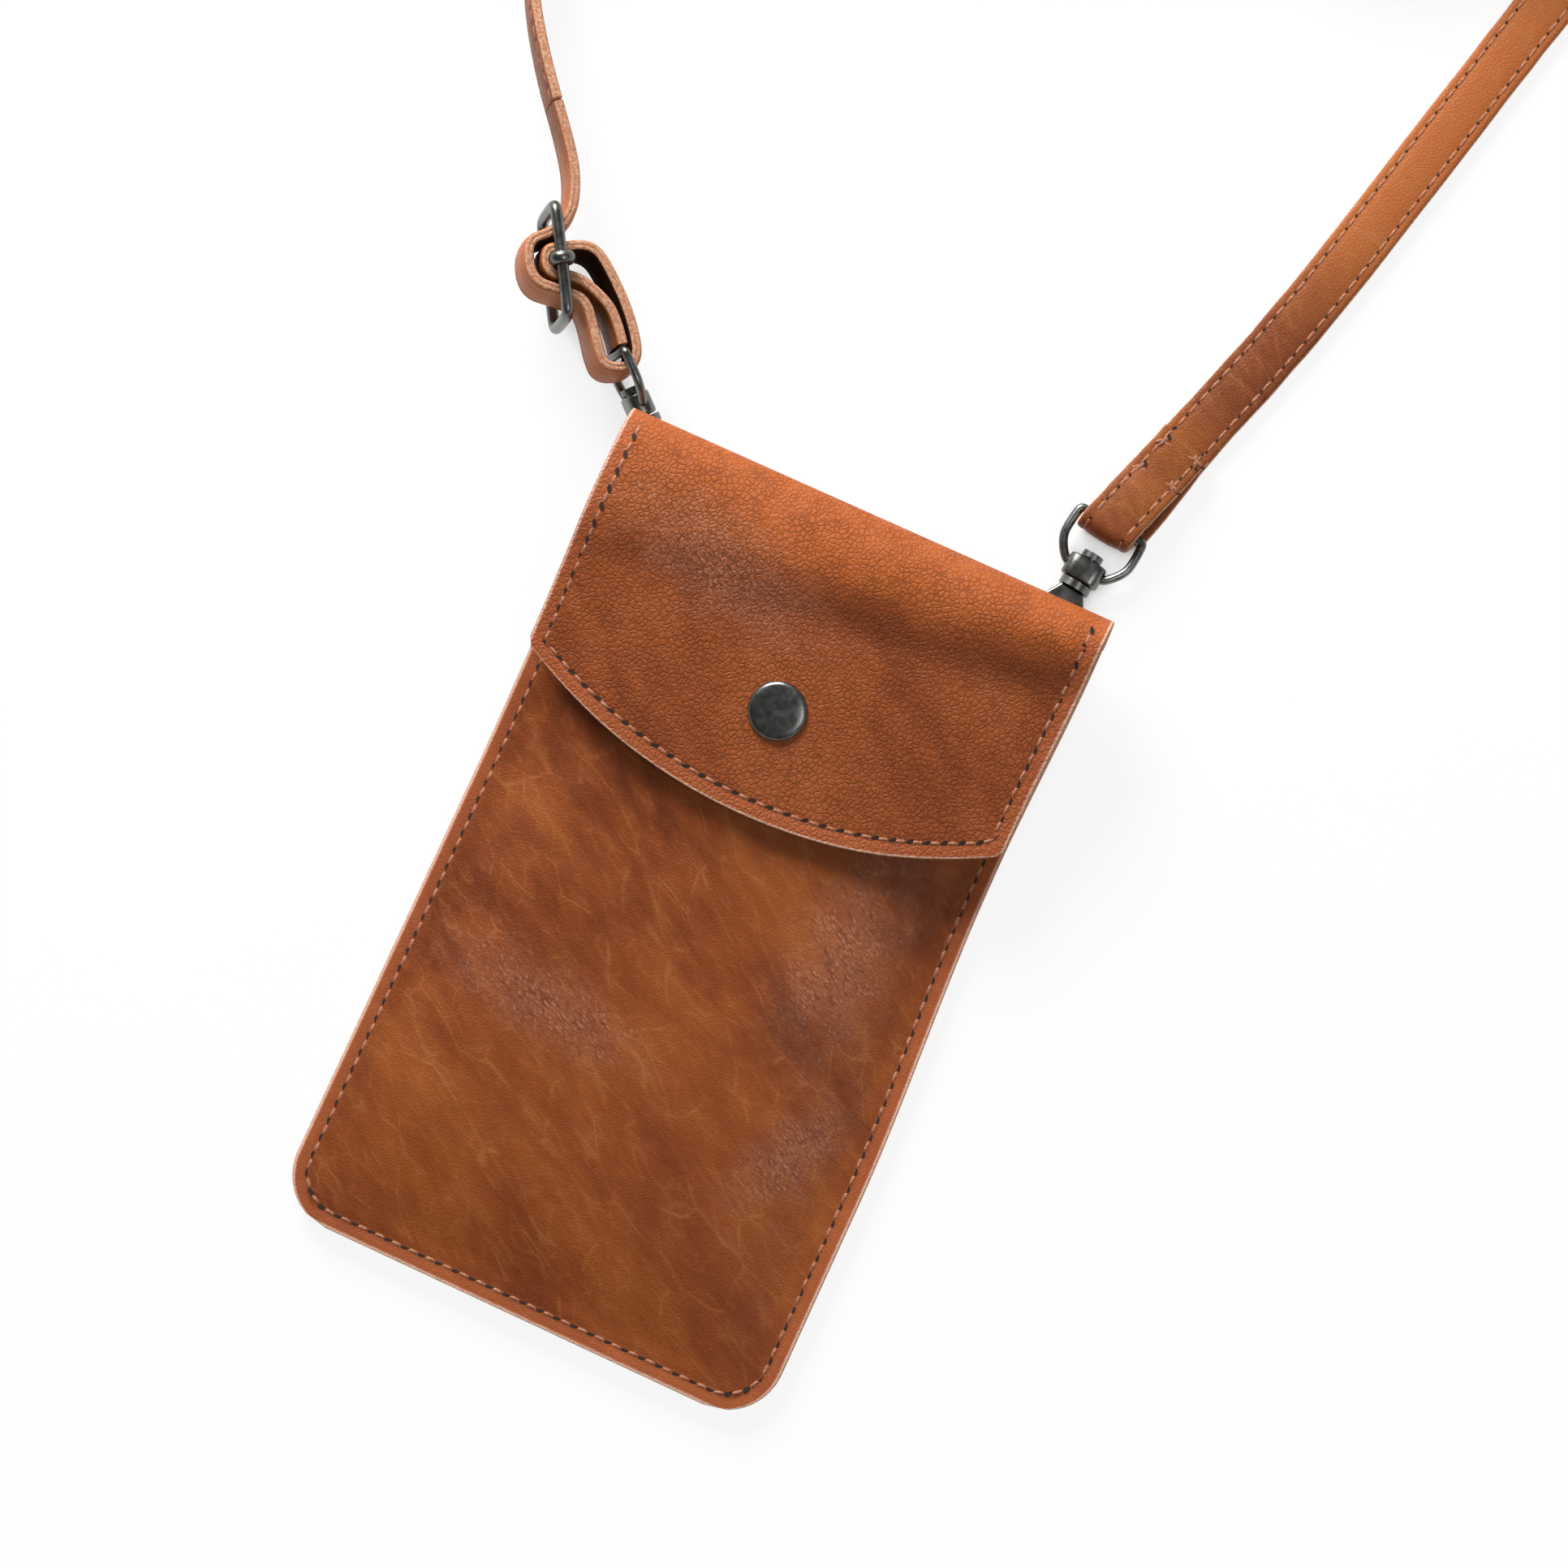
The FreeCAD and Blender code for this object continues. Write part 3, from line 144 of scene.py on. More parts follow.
STRAP_WIDTH, STRAP_THICKNESS = 12.0, 2.4
RING = Vector((44.40, 110.06, 3.6))
ALONG_RIGHT = Vector((0.309, 0.951, 0))
BAR_WAY = Vector((0.9925, -0.1219, 0))
flat_points = [(44.4, 110.06, 0), (50.9, 130.1, 0), (62.2, 165.0, 0), (72.8, 210.3, 0), (84.1, 258.5, 0),
               (93.6, 285.7, 0)]
coil_points = (turn_points(27.1, 69.8, -6, 186, 9) + turn_points(-8.5, 33.6, -186, 6, 8)
               + turn_points(57.5, 33.6, 186, -6, 8) + turn_points(21.9, 69.6, 4, -96, 6))
left_points = [(-11.2, 243.1, 0), (-45.0, 243.9, 0), (-80.7, 239.8, 0), (-110.5, 220.7, 0),
               (-122.5, 190.0, 0), (-114.8, 161.6, 0), (-97.8, 141.7, 0)]
route = spline_points(flat_points + coil_points + left_points)
travel = [0.0]
for here, there in zip(route, route[1:]):
    travel.append(travel[-1] + (there - here).length)
print("strap line", round(travel[-1]), "mm,", len(route), "points")


# %% Strap lean and height
def eased(value, low, high):
    """0 below low and 1 above high, with a smooth rise between."""
    share = min(1.0, max(0.0, (value - low) / (high - low)))
    return share * share * (3 - 2 * share)


def travel_to(x, y):
    """How far along the strap its point nearest to a place is."""
    return travel[min(range(len(route)), key=lambda i: (route[i] - Vector((x, y, 0))).length)]


TWIST_START, TWIST_END, LEFT_START = travel_to(87.3, 259.9), travel_to(95.6, 313.0), travel_to(21.9, 244.5)
LEFT_LEAN_FROM = LEFT_START + 0.6 * (travel[-1] - LEFT_START)
LEFT_LEAN, LEFT_HEIGHT = radians(13), 12.2
FLOOR_GAP, SLIP = 0.1, 1.5  # the under layer slips, so that it shows beside the turned end


def over_floor(roll):
    """Height of the strap's middle when it lies on the table, rolled from flat."""
    return FLOOR_GAP + STRAP_WIDTH / 2 * sin(roll) + STRAP_THICKNESS / 2 * cos(roll)


LEFT_LIFT = LEFT_HEIGHT - over_floor(pi / 2 - LEFT_LEAN)
strap_line, strap_wide = [], []
for i, point in enumerate(route):
    ahead = route[min(i + 1, len(route) - 1)] - route[max(i - 1, 0)]
    side = ahead.normalized().cross(UP)
    back_over = eased(travel[i], LEFT_LEAN_FROM, travel[-1])
    roll = pi / 2 * eased(travel[i], TWIST_START, TWIST_END) - LEFT_LEAN * back_over
    slipped = SLIP * (1 - eased(travel[i], 3, 27))
    strap_line.append(Vector((point.x, point.y, over_floor(roll) + LEFT_LIFT * back_over)) + BAR_WAY * slipped)
    strap_wide.append(side * cos(roll) - UP * sin(roll))

# %% [markdown]
# Colours are written as sRGB hex values, as a picture program shows them, and one function turns them to the linear
# values that Blender works in. One more function adds a shader node with its settings and links.

# %% Colour and node helpers
def colour(code):
    """Linear colour of an sRGB hex value such as 8F4D2B."""
    parts = [int(code[i:i + 2], 16) / 255 for i in (0, 2, 4)]
    return (*[p / 12.92 if p <= 0.04045 else ((p + 0.055) / 1.055) ** 2.4 for p in parts], 1)


def feed(node, inputs):
    """Sets a node's inputs, by name or in order, to values, to sockets or to the first outputs of nodes."""
    for name, value in inputs.items() if isinstance(inputs, dict) else enumerate(inputs):
        if isinstance(value, bpy.types.Node):
            value = next(socket for socket in value.outputs if socket.enabled)
        if isinstance(value, bpy.types.NodeSocket):
            node.id_data.links.new(value, node.inputs[name])
        else:
            node.inputs[name].default_value = value


def add(tree, kind, inputs=(), stops=(), **settings):
    """Adds a node with its settings and inputs, and with the stops of a colour ramp."""
    made = tree.nodes.new("ShaderNode" + kind)
    for field, value in settings.items():
        setattr(made, field, value)
    feed(made, inputs)
    if stops:
        ramp = made.color_ramp.elements
        while len(ramp) < len(stops):
            ramp.new(0.5)
        for element, (place, code) in zip(ramp, stops):
            element.position, element.color = place, colour(code)
    return made


def started(name):
    """A new material, what adds nodes to it, its shader and the Object coordinates."""
    material = bpy.data.materials.new(name)
    material.use_nodes = True
    put = functools.partial(add, material.node_tree)
    return material, put, material.node_tree.nodes["Principled BSDF"], put("TexCoord").outputs["Object"]


# %% [markdown]
# The hide is oiled full-grain cowhide, a pull-up leather: where it bends or is rubbed the oil moves and the colour
# turns lighter. It shows clouds of dark and light brown, a fine pebble grain, a net of pale creases and a waxy gloss.
# Light and shade are painted into its colour too: a painted highlight on the flap's fold besides its pull-up
# lightening, painted light on the slider loop's faces, painted shade below the flap's crest, and a painted sheen,
# painted glints and painted furrow shade in the wrinkled patches.
# All of it is drawn with noise and Voronoi nodes on Object coordinates, at sizes taken from the photograph.
# The colours lie over each other as layers, each with the share of it that shows. A map range has its inputs in the
# order of the value, the range that it comes from and the range that it goes to.

# %% Oiled leather
# The darkening brown is painted shade in a band below the flap's crest; on the front it makes the bottom a little
# darker.
RIM, CUT, DARKENING_BROWN = "B4623C", "DDB49E", "44200F"
# A painted sheen over the wrinkled patches, and their crumple marks: painted shade in the furrows and painted glints
# on the tops.
PAINTED_SHEEN, PAINTED_SHEEN_SHARE = "A06C56", 0.34
FURROW_SHADE_AND_GLINTS = ((0.35, 0.7, 0.75, "5A2A16"), (0.5, 0.1, 0.42, "CFA690"))  # from, to, share and colour
CREASES = ((8.5, 1.0), (3.2, 0.5))  # size in mm and share
CREASE_MM, CRUMPLE_MM = 0.3, 0.6


def oiled_leather(name, browns, pale, pulled, cloudy, grain_mm, grain_depth, furrowed, veined, gloss, wrinkled=()):
    """Hide with clouds, creases, a pebble grain, a redder sewn rim, lighter bends that are partly a painted
    highlight, a darkening brown that is painted shade on the flap, and wrinkled glossy patches with a painted sheen,
    painted glints and painted furrow shade.
    """
    material, put, shader, place = started(name)
    slant = put("Mapping", {"Vector": place, "Rotation": (0, 0, radians(-34)), "Scale": (2.6, 1, 1)},
                vector_type="TEXTURE")
    cloud, streak, patch, fibre = [
        put("TexNoise", {"Vector": way, "Scale": 1 / (size_mm * MM), "Detail": detail, "Roughness": rough})
        for way, size_mm, detail, rough in (
            (slant, 20, 2.5, 0.5), (slant, 4.5, 4, 0.6), (place, 5, 5, 0.62), (slant, 0.9, 4, 0.7))]
    blotch = put("Mix", {0: 0.36, 2: cloud, 3: streak})
    tone = put("Mix", {0: 0.13, 2: blotch, 3: fibre})
    finish = put("ValToRGB", [tone], [
        (0.5 - 0.13 / cloudy, browns[0]), (0.5, browns[1]), (0.5 + 0.13 / cloudy, browns[2])])

    lined = put("VectorMath", (cloud.outputs["Color"], (14 * MM,) * 3, slant), operation="MULTIPLY_ADD")
    line = 0.0
    for size_mm, share in CREASES:
        cells = put("TexVoronoi", {"Vector": lined, "Scale": 1 / (size_mm * MM)}, feature="DISTANCE_TO_EDGE")
        drawn = put("MapRange", (cells, 0, CREASE_MM / size_mm, share, 0))
        line = put("Math", (line, drawn), operation="MAXIMUM")
    broken = put("MapRange", (streak, 0.42, 0.62, 0, veined))
    crease = put("Math", (line, broken), operation="MULTIPLY")

    stray = fibre.outputs["Color"], (0.3 * grain_mm * MM,) * 3
    strayed = put("VectorMath", (*stray, place), operation="MULTIPLY_ADD")
    grain = put("TexVoronoi", {"Vector": strayed, "Scale": 1 / (grain_mm * MM)}, feature="DISTANCE_TO_EDGE")
    pebble = put("MapRange", (grain, 0, 0.22), interpolation_type="SMOOTHSTEP")
    rubbed = put("MapRange", (patch, 0.35, 0.6, 0, furrowed))
    furrow = put("Math", (1.0, pebble), operation="SUBTRACT")
    dark_line = put("Math", (furrow, rubbed), operation="MULTIPLY")

    # The pull mark: where it is positive the hide turns lighter, by pull-up lightening, a lighter strap away from the
    # pouch, a painted highlight on the flap's fold and painted light on the slider loop's faces; where it is negative
    # the darkening brown shows, as painted shade below the flap's crest and as a darker bottom on the front.
    bend = put("Attribute", attribute_name="pull").outputs["Fac"]
    darkening = put("Math", (bend, -1.0), operation="MULTIPLY", use_clamp=True)
    rim = put("Attribute", attribute_name="rim").outputs["Fac"]
    frayed = put("Math", (fibre, 0.6, rim), operation="MULTIPLY_ADD")
    cut_line = put("MapRange", (frayed, 1.2, 1.7))
    layers = [(bend, pulled), (darkening, DARKENING_BROWN), (dark_line, browns[0]), (crease, pale), (rim, RIM), (cut_line, CUT)]
    waxy = put("MapRange", (patch, 0.35, 0.65, gloss - 0.05, gloss + 0.12))
    bumps = [(streak, 0.6, 0.4, False), (crease, 0.8, 0.14, True), (pebble, 0.7, grain_depth, False)]

    # Wrinkled glossy patches: lower roughness and a crumpled bump, and painted light in the colour: a painted sheen,
    # painted shade in the furrows and painted glints on the facets' tops.
    if wrinkled:
        wear_and_sheen = 0.0
        for centre, halves, degrees in wrinkled:
            spot = put("Mapping", {"Vector": place, "Location": Vector(centre) * MM, "Scale": Vector(halves) * MM,
                                   "Rotation": (0, 0, radians(degrees))}, vector_type="TEXTURE")
            reach = put("VectorMath", [spot], operation="LENGTH")
            ragged = put("Math", (patch, 1.4, reach), operation="MULTIPLY_ADD")
            inside = put("MapRange", (ragged, 0.7, 2.0, 1, 0), interpolation_type="SMOOTHSTEP")
            wear_and_sheen = put("Math", (wear_and_sheen, inside), operation="MAXIMUM")
        facets = put("VectorMath", (*stray, slant), operation="MULTIPLY_ADD")
        crumple = put("TexVoronoi", {"Vector": facets, "Scale": 1 / (CRUMPLE_MM * MM)})
        bumps.append((put("Math", (crumple, wear_and_sheen), operation="MULTIPLY"), 1.0, 0.14, True))
        waxy = put("Math", (wear_and_sheen, -0.14, waxy), operation="MULTIPLY_ADD")
        layers.append((put("Math", (wear_and_sheen, PAINTED_SHEEN_SHARE), operation="MULTIPLY"), PAINTED_SHEEN))
        chosen = put("MapRange", (crumple.outputs["Color"], 0.3, 0.9))
        marked = put("Math", (wear_and_sheen, chosen), operation="MULTIPLY")
        for low, high, share, code in FURROW_SHADE_AND_GLINTS:
            spread = put("MapRange", (crumple, low, high, 0, share))
            layers.append((put("Math", (marked, spread), operation="MULTIPLY"), code))

    for share, code in layers:
        finish = put("Mix", {0: share, 6: finish, 7: colour(code)}, data_type="RGBA")
    normal = {}
    for height, strength, depth_mm, inward in bumps:
        normal = {"Normal": put("Bump", {
            "Height": height, "Strength": strength, "Distance": depth_mm * MM, **normal}, invert=inward)}
    feed(shader, {"Base Color": finish, "Roughness": waxy, "Specular IOR Level": 0.16, **normal})
    return material


# Wrinkled glossy patches, with a painted sheen, painted glints and painted furrow shade: middle and half sizes in mm,
# and turn in degrees
FRONT_WRINKLES_AND_SHEEN = [((-21, -29, 3), (25, 9, 40), -8), ((31, 4, 8), (13, 25, 40), 0), ((38, -37, 6), (8, 18, 40), -22)]
FLAP_WRINKLES_AND_SHEEN = [((-26, 68, 24), (30, 11, 40), -14)]
front_hide = oiled_leather(
    "oiled_cowhide_front", ("672F12", "85421C", "985123"), pale="B47646", pulled="AC5726", cloudy=0.9, grain_mm=0.8,
    grain_depth=0.05, furrowed=0.0, veined=0.34, gloss=0.44, wrinkled=FRONT_WRINKLES_AND_SHEEN)
flap_hide = oiled_leather(
    "oiled_cowhide_flap", ("743717", "984E26", "A65B31"), pale="B06A3A", pulled="B25D2A", cloudy=0.7, grain_mm=1.15,
    grain_depth=0.16, furrowed=0.65, veined=0.12, gloss=0.46, wrinkled=FLAP_WRINKLES_AND_SHEEN)
strap_hide = oiled_leather(
    "oiled_cowhide_strap", ("70381B", "884926", "9A5829"), pale="B87C4E", pulled="B46635", cloudy=0.8, grain_mm=0.8,
    grain_depth=0.06, furrowed=0.0, veined=0.3, gloss=0.42)

# %% [markdown]
# Where the hide is cut its edge is raw: pale pinkish fibres with darker specks, quite matt. The linings are suede,
# the flesh side of a split, with a short nap. The seams are sewn with a thick waxed polyester thread, and each needle
# hole beside a stitch is a small dark disc, painted shade for the hole. Inside the slider's loop the strap's inner
# faces take a dark, dull material, painted shade for the loop's shaded inside. Each of them is one fine noise, as
# large as its fibres, in the colour and in the relief.

# %% Raw edge, suede and thread
def speckled(name, size_mm, stops, levels, detail=2.0, rough=0.5, bump=(), cloud_mm=0):
    """A matt material: fine noise in its colour, with clouds if wanted, and a bump's strength and depth in mm."""
    material, put, shader, place = started(name)
    speck = tone = put("TexNoise", {
        "Vector": place, "Scale": 1 / (size_mm * MM), "Detail": detail, "Roughness": rough})
    if cloud_mm:
        cloud = put("TexNoise", {"Vector": place, "Scale": 1 / (cloud_mm * MM), "Detail": 3})
        tone = put("Mix", {0: 0.5, 2: speck, 3: cloud})
    feed(shader, {"Base Color": put("ValToRGB", [tone], stops), **levels})
    if bump:
        strength, depth_mm = bump
        feed(shader, {"Normal": put("Bump", {"Height": speck, "Strength": strength, "Distance": depth_mm * MM})})
    return material


raw_edge = speckled("cut_leather_edge", 0.55, [(0.3, "96593A"), (0.5, "C08A68"), (0.7, "DAB094")],
                    {"Roughness": 0.85}, 4, 0.65, bump=(0.7, 0.25))
suede = speckled("split_suede", 0.6, [(0.35, "9A6A50"), (0.5, "B98468"), (0.65, "CB9A80")],
                 {"Roughness": 0.9, "Sheen Weight": 0.25}, 6, 0.75, bump=(0.6, 0.15), cloud_mm=14)
thread = speckled("waxed_polyester_thread", 0.5, [(0.3, "8A5036"), (0.5, "A86A4C"), (0.7, "C48E70")],
                  {"Roughness": 0.6}, 3, bump=(0.5, 0.1))
# Painted shade: a dark, dull colour for the inner faces of the slider's loop.
loop_inside_shade = speckled("painted_shade_loop_inside", 0.6, [(0.3, "2C170F"), (0.7, "48281A")],
                      {"Roughness": 1.0, "Specular IOR Level": 0.05}, 4)
# Painted shade: the dark colour of the flat discs that stand for the needle holes.
needle_hole_shade = speckled("needle_hole_shade", 0.4, [(0.3, "1E0D06"), (0.7, "361A0E")], {"Roughness": 0.8})

# %% [markdown]
# The clips, the slider and the snap are cast zinc with a gunmetal plating: nearly black metal with a soft shine.
# Tumbled castings show a slight unevenness and fine handling marks, so noise varies the roughness and the normal.

# %% Gunmetal plating
gunmetal, put, shader, place = started("gunmetal_plated_zinc")
tumbled = put("TexNoise", {"Vector": place, "Scale": 1 / (2.2 * MM), "Detail": 4, "Roughness": 0.6})
handled = put("TexNoise", {"Vector": place, "Scale": 1 / (0.35 * MM), "Detail": 2})
plating = put("ValToRGB", [tumbled], [(0.35, "676865"), (0.5, "727370"), (0.68, "80817E")])
wear_and_sheen = put("MapRange", (tumbled, 0.3, 0.7, 0.26, 0.38))
uneven = put("Bump", {"Height": handled, "Strength": 0.25, "Distance": 0.06 * MM})
feed(shader, {"Base Color": plating, "Roughness": wear_and_sheen, "Normal": uneven, "Metallic": 1.0})

METAL = ["snap_shank", "snap_socket", "snap_stud", "snap_post"]
METAL += [side + part for side in ("right_", "left_") for part in ("hook", "gate", "gate_pin")]
for name in METAL:
    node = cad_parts[name]
    node.data.materials.clear()
    node.data.materials.append(gunmetal)
print("plated", len(METAL), "metal nodes")

# %% [markdown]
# The pouch's back lies flat on the table and its top is lifted by the clips under it. The CAD gives the bend: flat,
# then an arc, then a straight slope. A point of the pouch is written by its place across, its run along the back from
# the bottom edge, and its height over the back's outer face.

# %% Place on the pouch
def ripple(*spot):
    """Smooth noise between about -1 and 1 at a spot, for the hide's slack."""
    return noise.noise(Vector(spot))


LIFT = radians(7.7753)
BEND_RADIUS, FLAT_RUN = 140.0, 98.0
BOTTOM_Y, BEND_Y = -90.0, 8.0
BEND_RUN = BEND_RADIUS * LIFT
SLOPE_FOOT = Vector((0, BEND_Y + BEND_RADIUS * sin(LIFT), BEND_RADIUS * (1 - cos(LIFT))))
SLOPE_ON = Vector((0, cos(LIFT), sin(LIFT)))
SLOPE_UP = Vector((0, -sin(LIFT), cos(LIFT)))
HALF, CORNER = 55.0, 12.0
FOLD_RUN, FOLD_RADIUS = 58.06, 6.4
FOLD_AT = FLAT_RUN + BEND_RUN + FOLD_RUN
MOUTH_AT = 167.46
LEATHER, LINING, PLY_GAP = 1.3, 0.5, 0.05
SEAM_INSET, SEAM_DENT = 3.3, 0.8
CLIP_ROOM = 2.8  # the left clip swings past the corner
DRAWN_IN, LET_OUT = 2.6, 1.2  # the right side under the flap, and above that


def on_slope(x, run, height):
    return (SLOPE_FOOT + Vector((x, 0, 0)) + SLOPE_ON * run + SLOPE_UP * height) * MM


def on_back(x, run, height):
    """A place on the pouch: its right side is drawn in under the flap, and its upper left corner beside the clip."""
    x += CLIP_ROOM * eased(-x, 35, HALF) * eased(run, FOLD_AT - 7, FOLD_AT)
    x -= eased(x, 15, HALF) * (DRAWN_IN * eased(run, 50, 120) - LET_OUT * eased(run, 125, 170))
    if run <= FLAT_RUN:
        return Vector((x, BOTTOM_Y + run, height)) * MM
    if run <= FLAT_RUN + BEND_RUN:
        bend = (run - FLAT_RUN) / BEND_RADIUS
        reach = BEND_RADIUS - height
        return Vector((x, BEND_Y + reach * sin(bend), BEND_RADIUS - reach * cos(bend))) * MM
    return on_slope(x, run - FLAT_RUN - BEND_RUN, height)


def half_width(run):
    """Half the pouch's width at a run, with its two bottom corners rounded."""
    if run >= CORNER:
        return HALF
    return HALF - CORNER + sqrt(CORNER ** 2 - (CORNER - run) ** 2)


# %% [markdown]
# Each ply is a grid primitive whose points are moved to their place, as a sculptor would push a flat sheet. Solidify
# gives it the hide's thickness with a raw cut rim, and a small bevel takes the knife's sharpness off the edge.
# The front swells over the pocket and is drawn down to a flat flange where it is sewn, with slack hollows between.

# %% Plies
def rounded(piece, width, segments, finish=-1):
    """Rounds the sharp edges of the active piece with a bevel."""
    easing = piece.modifiers.new("easing", "BEVEL")
    easing.width, easing.segments, easing.material = width, segments, finish
    easing.limit_method, easing.angle_limit = "ANGLE", radians(60)
    bpy.ops.object.modifier_apply(modifier="easing")


def ply(name, across, along, place, thickness, finishes, bevel=0.45, **marks):
    """A sheet whose points go to their place, with a mark for its material at each of them."""
    made = fresh(bpy.ops.mesh.primitive_grid_add, x_subdivisions=across, y_subdivisions=along, size=2)
    made.name = made.data.name = name
    spots = [(vertex.co.x, (vertex.co.y + 1) / 2) for vertex in made.data.vertices]
    for mark, share in marks.items():
        made.data.attributes.new(mark, "FLOAT", "POINT").data.foreach_set("value", [share(*s) for s in spots])
    for vertex, spot in zip(made.data.vertices, spots):
        vertex.co = place(*spot)
    for finish in finishes:
        made.data.materials.append(finish)
    wall = made.modifiers.new("wall", "SOLIDIFY")
    wall.thickness, wall.offset = thickness * MM, -1
    wall.use_even_offset = True
    wall.material_offset_rim = 1
    bpy.ops.object.modifier_apply(modifier="wall")
    if bevel:
        rounded(made, bevel * MM, 2, 1)
    smooth()
    return made


FRONT_FACE, FLANGE = 3.75, 6.5
POCKET_DEPTH, POCKET_OPENS = 4.4, 1.0
SIDE_SWELL, BOTTOM_SWELL = 11, 16  # how soon the pocket is full


def sewn_down(edge, depth):
    """How the thread draws the hide down at a distance from the cut."""
    return -depth * exp(-((edge - SEAM_INSET) / SEAM_DENT) ** 2)


def front_edge(x, run):
    """Distance of a place on the front from the cut."""
    return min(half_width(run) - abs(x), run)


def front_height(x, run):
    """Height of the front's outer face: the flange, the swell of the pocket and slack hollows."""
    aside, below = max(0.0, HALF - FLANGE - abs(x)), max(0.0, run - FLANGE)
    swell = (1 - exp(-(aside / SIDE_SWELL) ** 1.25)) * (1 - exp(-(below / BOTTOM_SWELL) ** 1.25))
    slack = 0.4 * ripple(x / 26, run / 34, 3.1) + 0.22 * ripple(x / 11, run / 12, 7.7)
    full = (POCKET_DEPTH + POCKET_OPENS * eased(run, 30, 120) + slack) * swell
    return FRONT_FACE + full + sewn_down(front_edge(x, run), 0.2)


def rim_share(edge):
    """How much of the rim's own colour shows at a distance from the cut, and 1.5 more on the cut itself."""
    return 0.5 * (1 - eased(edge, 2.6, 3.6)) + (1.5 if edge < 0.05 else 0)


def on_front(x, run):
    return on_back(x, run, front_height(x, run))


def spread(u, v):
    """The place across and the run of a point of the grid, from the bottom edge to the mouth."""
    run = v * MOUTH_AT
    return u * half_width(run), run


def lining(u, v, height):
    """A place on a lining, which is a little smaller than its leather."""
    x, run = spread(u, v)
    return on_back(x - 0.2 * u, run + 0.2 - 0.6 * v, height)


front = ply("front_leather", 110, 160, lambda u, v: on_front(*spread(u, v)), LEATHER, [front_hide, raw_edge],
            rim=lambda u, v: rim_share(front_edge(*spread(u, v))),
            # the front turns a little darker towards its bottom edge
            pull=lambda u, v: -0.08 * (1 - eased(v * MOUTH_AT, 25, 75)))
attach(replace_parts(front, "front_panel"), "pouch")
back = ply("back_leather", 60, 90, lambda u, v: on_back(-u * half_width(v * FOLD_AT), v * FOLD_AT, 0.0),
           LEATHER, [front_hide, raw_edge])
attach(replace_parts(back, "back_panel"), "pouch")
front_suede = ply("front_suede", 60, 90, lambda u, v: lining(u, v, front_height(*spread(u, v)) - LEATHER - PLY_GAP),
                  LINING, [suede, suede], 0)
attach(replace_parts(front_suede, "front_lining"), "pouch")
back_suede = ply("back_suede", 40, 60, lambda u, v: lining(u, v, LEATHER + PLY_GAP + LINING), LINING,
                 [suede, suede], 0)
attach(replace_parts(back_suede, "back_lining"), "pouch")
print("front", len(front.data.polygons), "faces, back", len(back.data.polygons))

# %% [markdown]
# The flap is the same hide as the back: it rolls over the top and falls to a lower edge cut as one shallow arc.
# One sheet makes the roll and the flap, so that nothing shows where it bends. It falls away from its crest to the
# fold in an easy round that catches the light. It steps down behind the crest, is held at the snap, and its two
# lower corners droop towards the front.

# %% Flap
FLAP_DROP, FLAP_RISE, FLAP_CORNER = 67, 14, 1.5
FLAP_ARC = (HALF ** 2 + FLAP_RISE ** 2) / (2 * FLAP_RISE)
SNAP_ACROSS, SNAP_FALL = -1.5, 38.2
LEFT_DROOP, RIGHT_DROOP = 2.6, 1.2
ROLL_ROWS, CREST_ROWS, FLAP_ROWS = 9, 16, 64
ALL_ROWS = ROLL_ROWS + CREST_ROWS + FLAP_ROWS


def flap_arc(x):
    """From the roll's middle line down to the arc of the lower edge."""
    return FLAP_DROP - (FLAP_ARC - sqrt(FLAP_ARC ** 2 - x ** 2)) - FOLD_RADIUS


def flap_length(x):
    """From the roll's middle line down to the lower edge, with the two corners rounded."""
    over = max(0.0, abs(x) - (HALF - FLAP_CORNER))
    return flap_arc(x) - (FLAP_CORNER - sqrt(FLAP_CORNER ** 2 - over ** 2))


def flap_edge(x, fall):
    """Distance of a place on the flap from the cut."""
    return min(HALF - abs(x), flap_length(x) - fall)


def crest(x):
    """How far below the roll's middle line the flap is highest: the fold is fuller at the left."""
    return 7.5 - 0.13 * x


def flap_height(x, fall):
    """Height of the flap's outer face over the back, at a distance below the roll's middle line."""
    top = crest(x)
    full = (0.7 + 1.2 * eased(x, -50, 15)) * (1 + 0.5 * ripple(x / 17, 0.4, 5.2))
    if fall < top:
        lean = min(1.0, (top - fall) / (FOLD_RADIUS + top))
        return FOLD_RADIUS + (FOLD_RADIUS + full) * sqrt(1 - lean * lean)
    corner = -(LEFT_DROOP if x < 0 else RIGHT_DROOP) * eased(abs(x), 26, 56) * eased(fall, top, 44)
    slack = 0.3 * ripple(x / 20, fall / 16, 1.3) * eased(fall, top, top + 8)
    held = 1 - exp(-((x - SNAP_ACROSS) ** 2 + (fall - SNAP_FALL) ** 2) / 150)
    crown = full * (1 - eased(fall, top, top + 12))
    return 2 * FOLD_RADIUS + crown + (corner + slack) * held + sewn_down(flap_edge(x, fall), 0.18)


def flap_uv(u, v):
    """The place across and the distance below the roll's middle line, from the roll's outermost line on."""
    x, row = -u * HALF, max(0.0, v * ALL_ROWS - ROLL_ROWS)
    top = crest(x)
    if row <= CREST_ROWS:
        return x, top - (FOLD_RADIUS + top) * cos(pi / 2 * row / CREST_ROWS)
    return x, top + (row - CREST_ROWS) / FLAP_ROWS * (flap_length(x) - top)


def on_flap(x, fall, height):
    """A place on the flap: its right side is drawn in, most at the lower corner."""
    drawn = eased(x, 15, HALF) * (1.3 + 1.2 * eased(fall, 0, 45))
    return on_slope(x - drawn, FOLD_RUN - fall, height)


def flap_spot(x, fall, below=0.0):
    return on_flap(x, fall, flap_height(x, fall) - below)


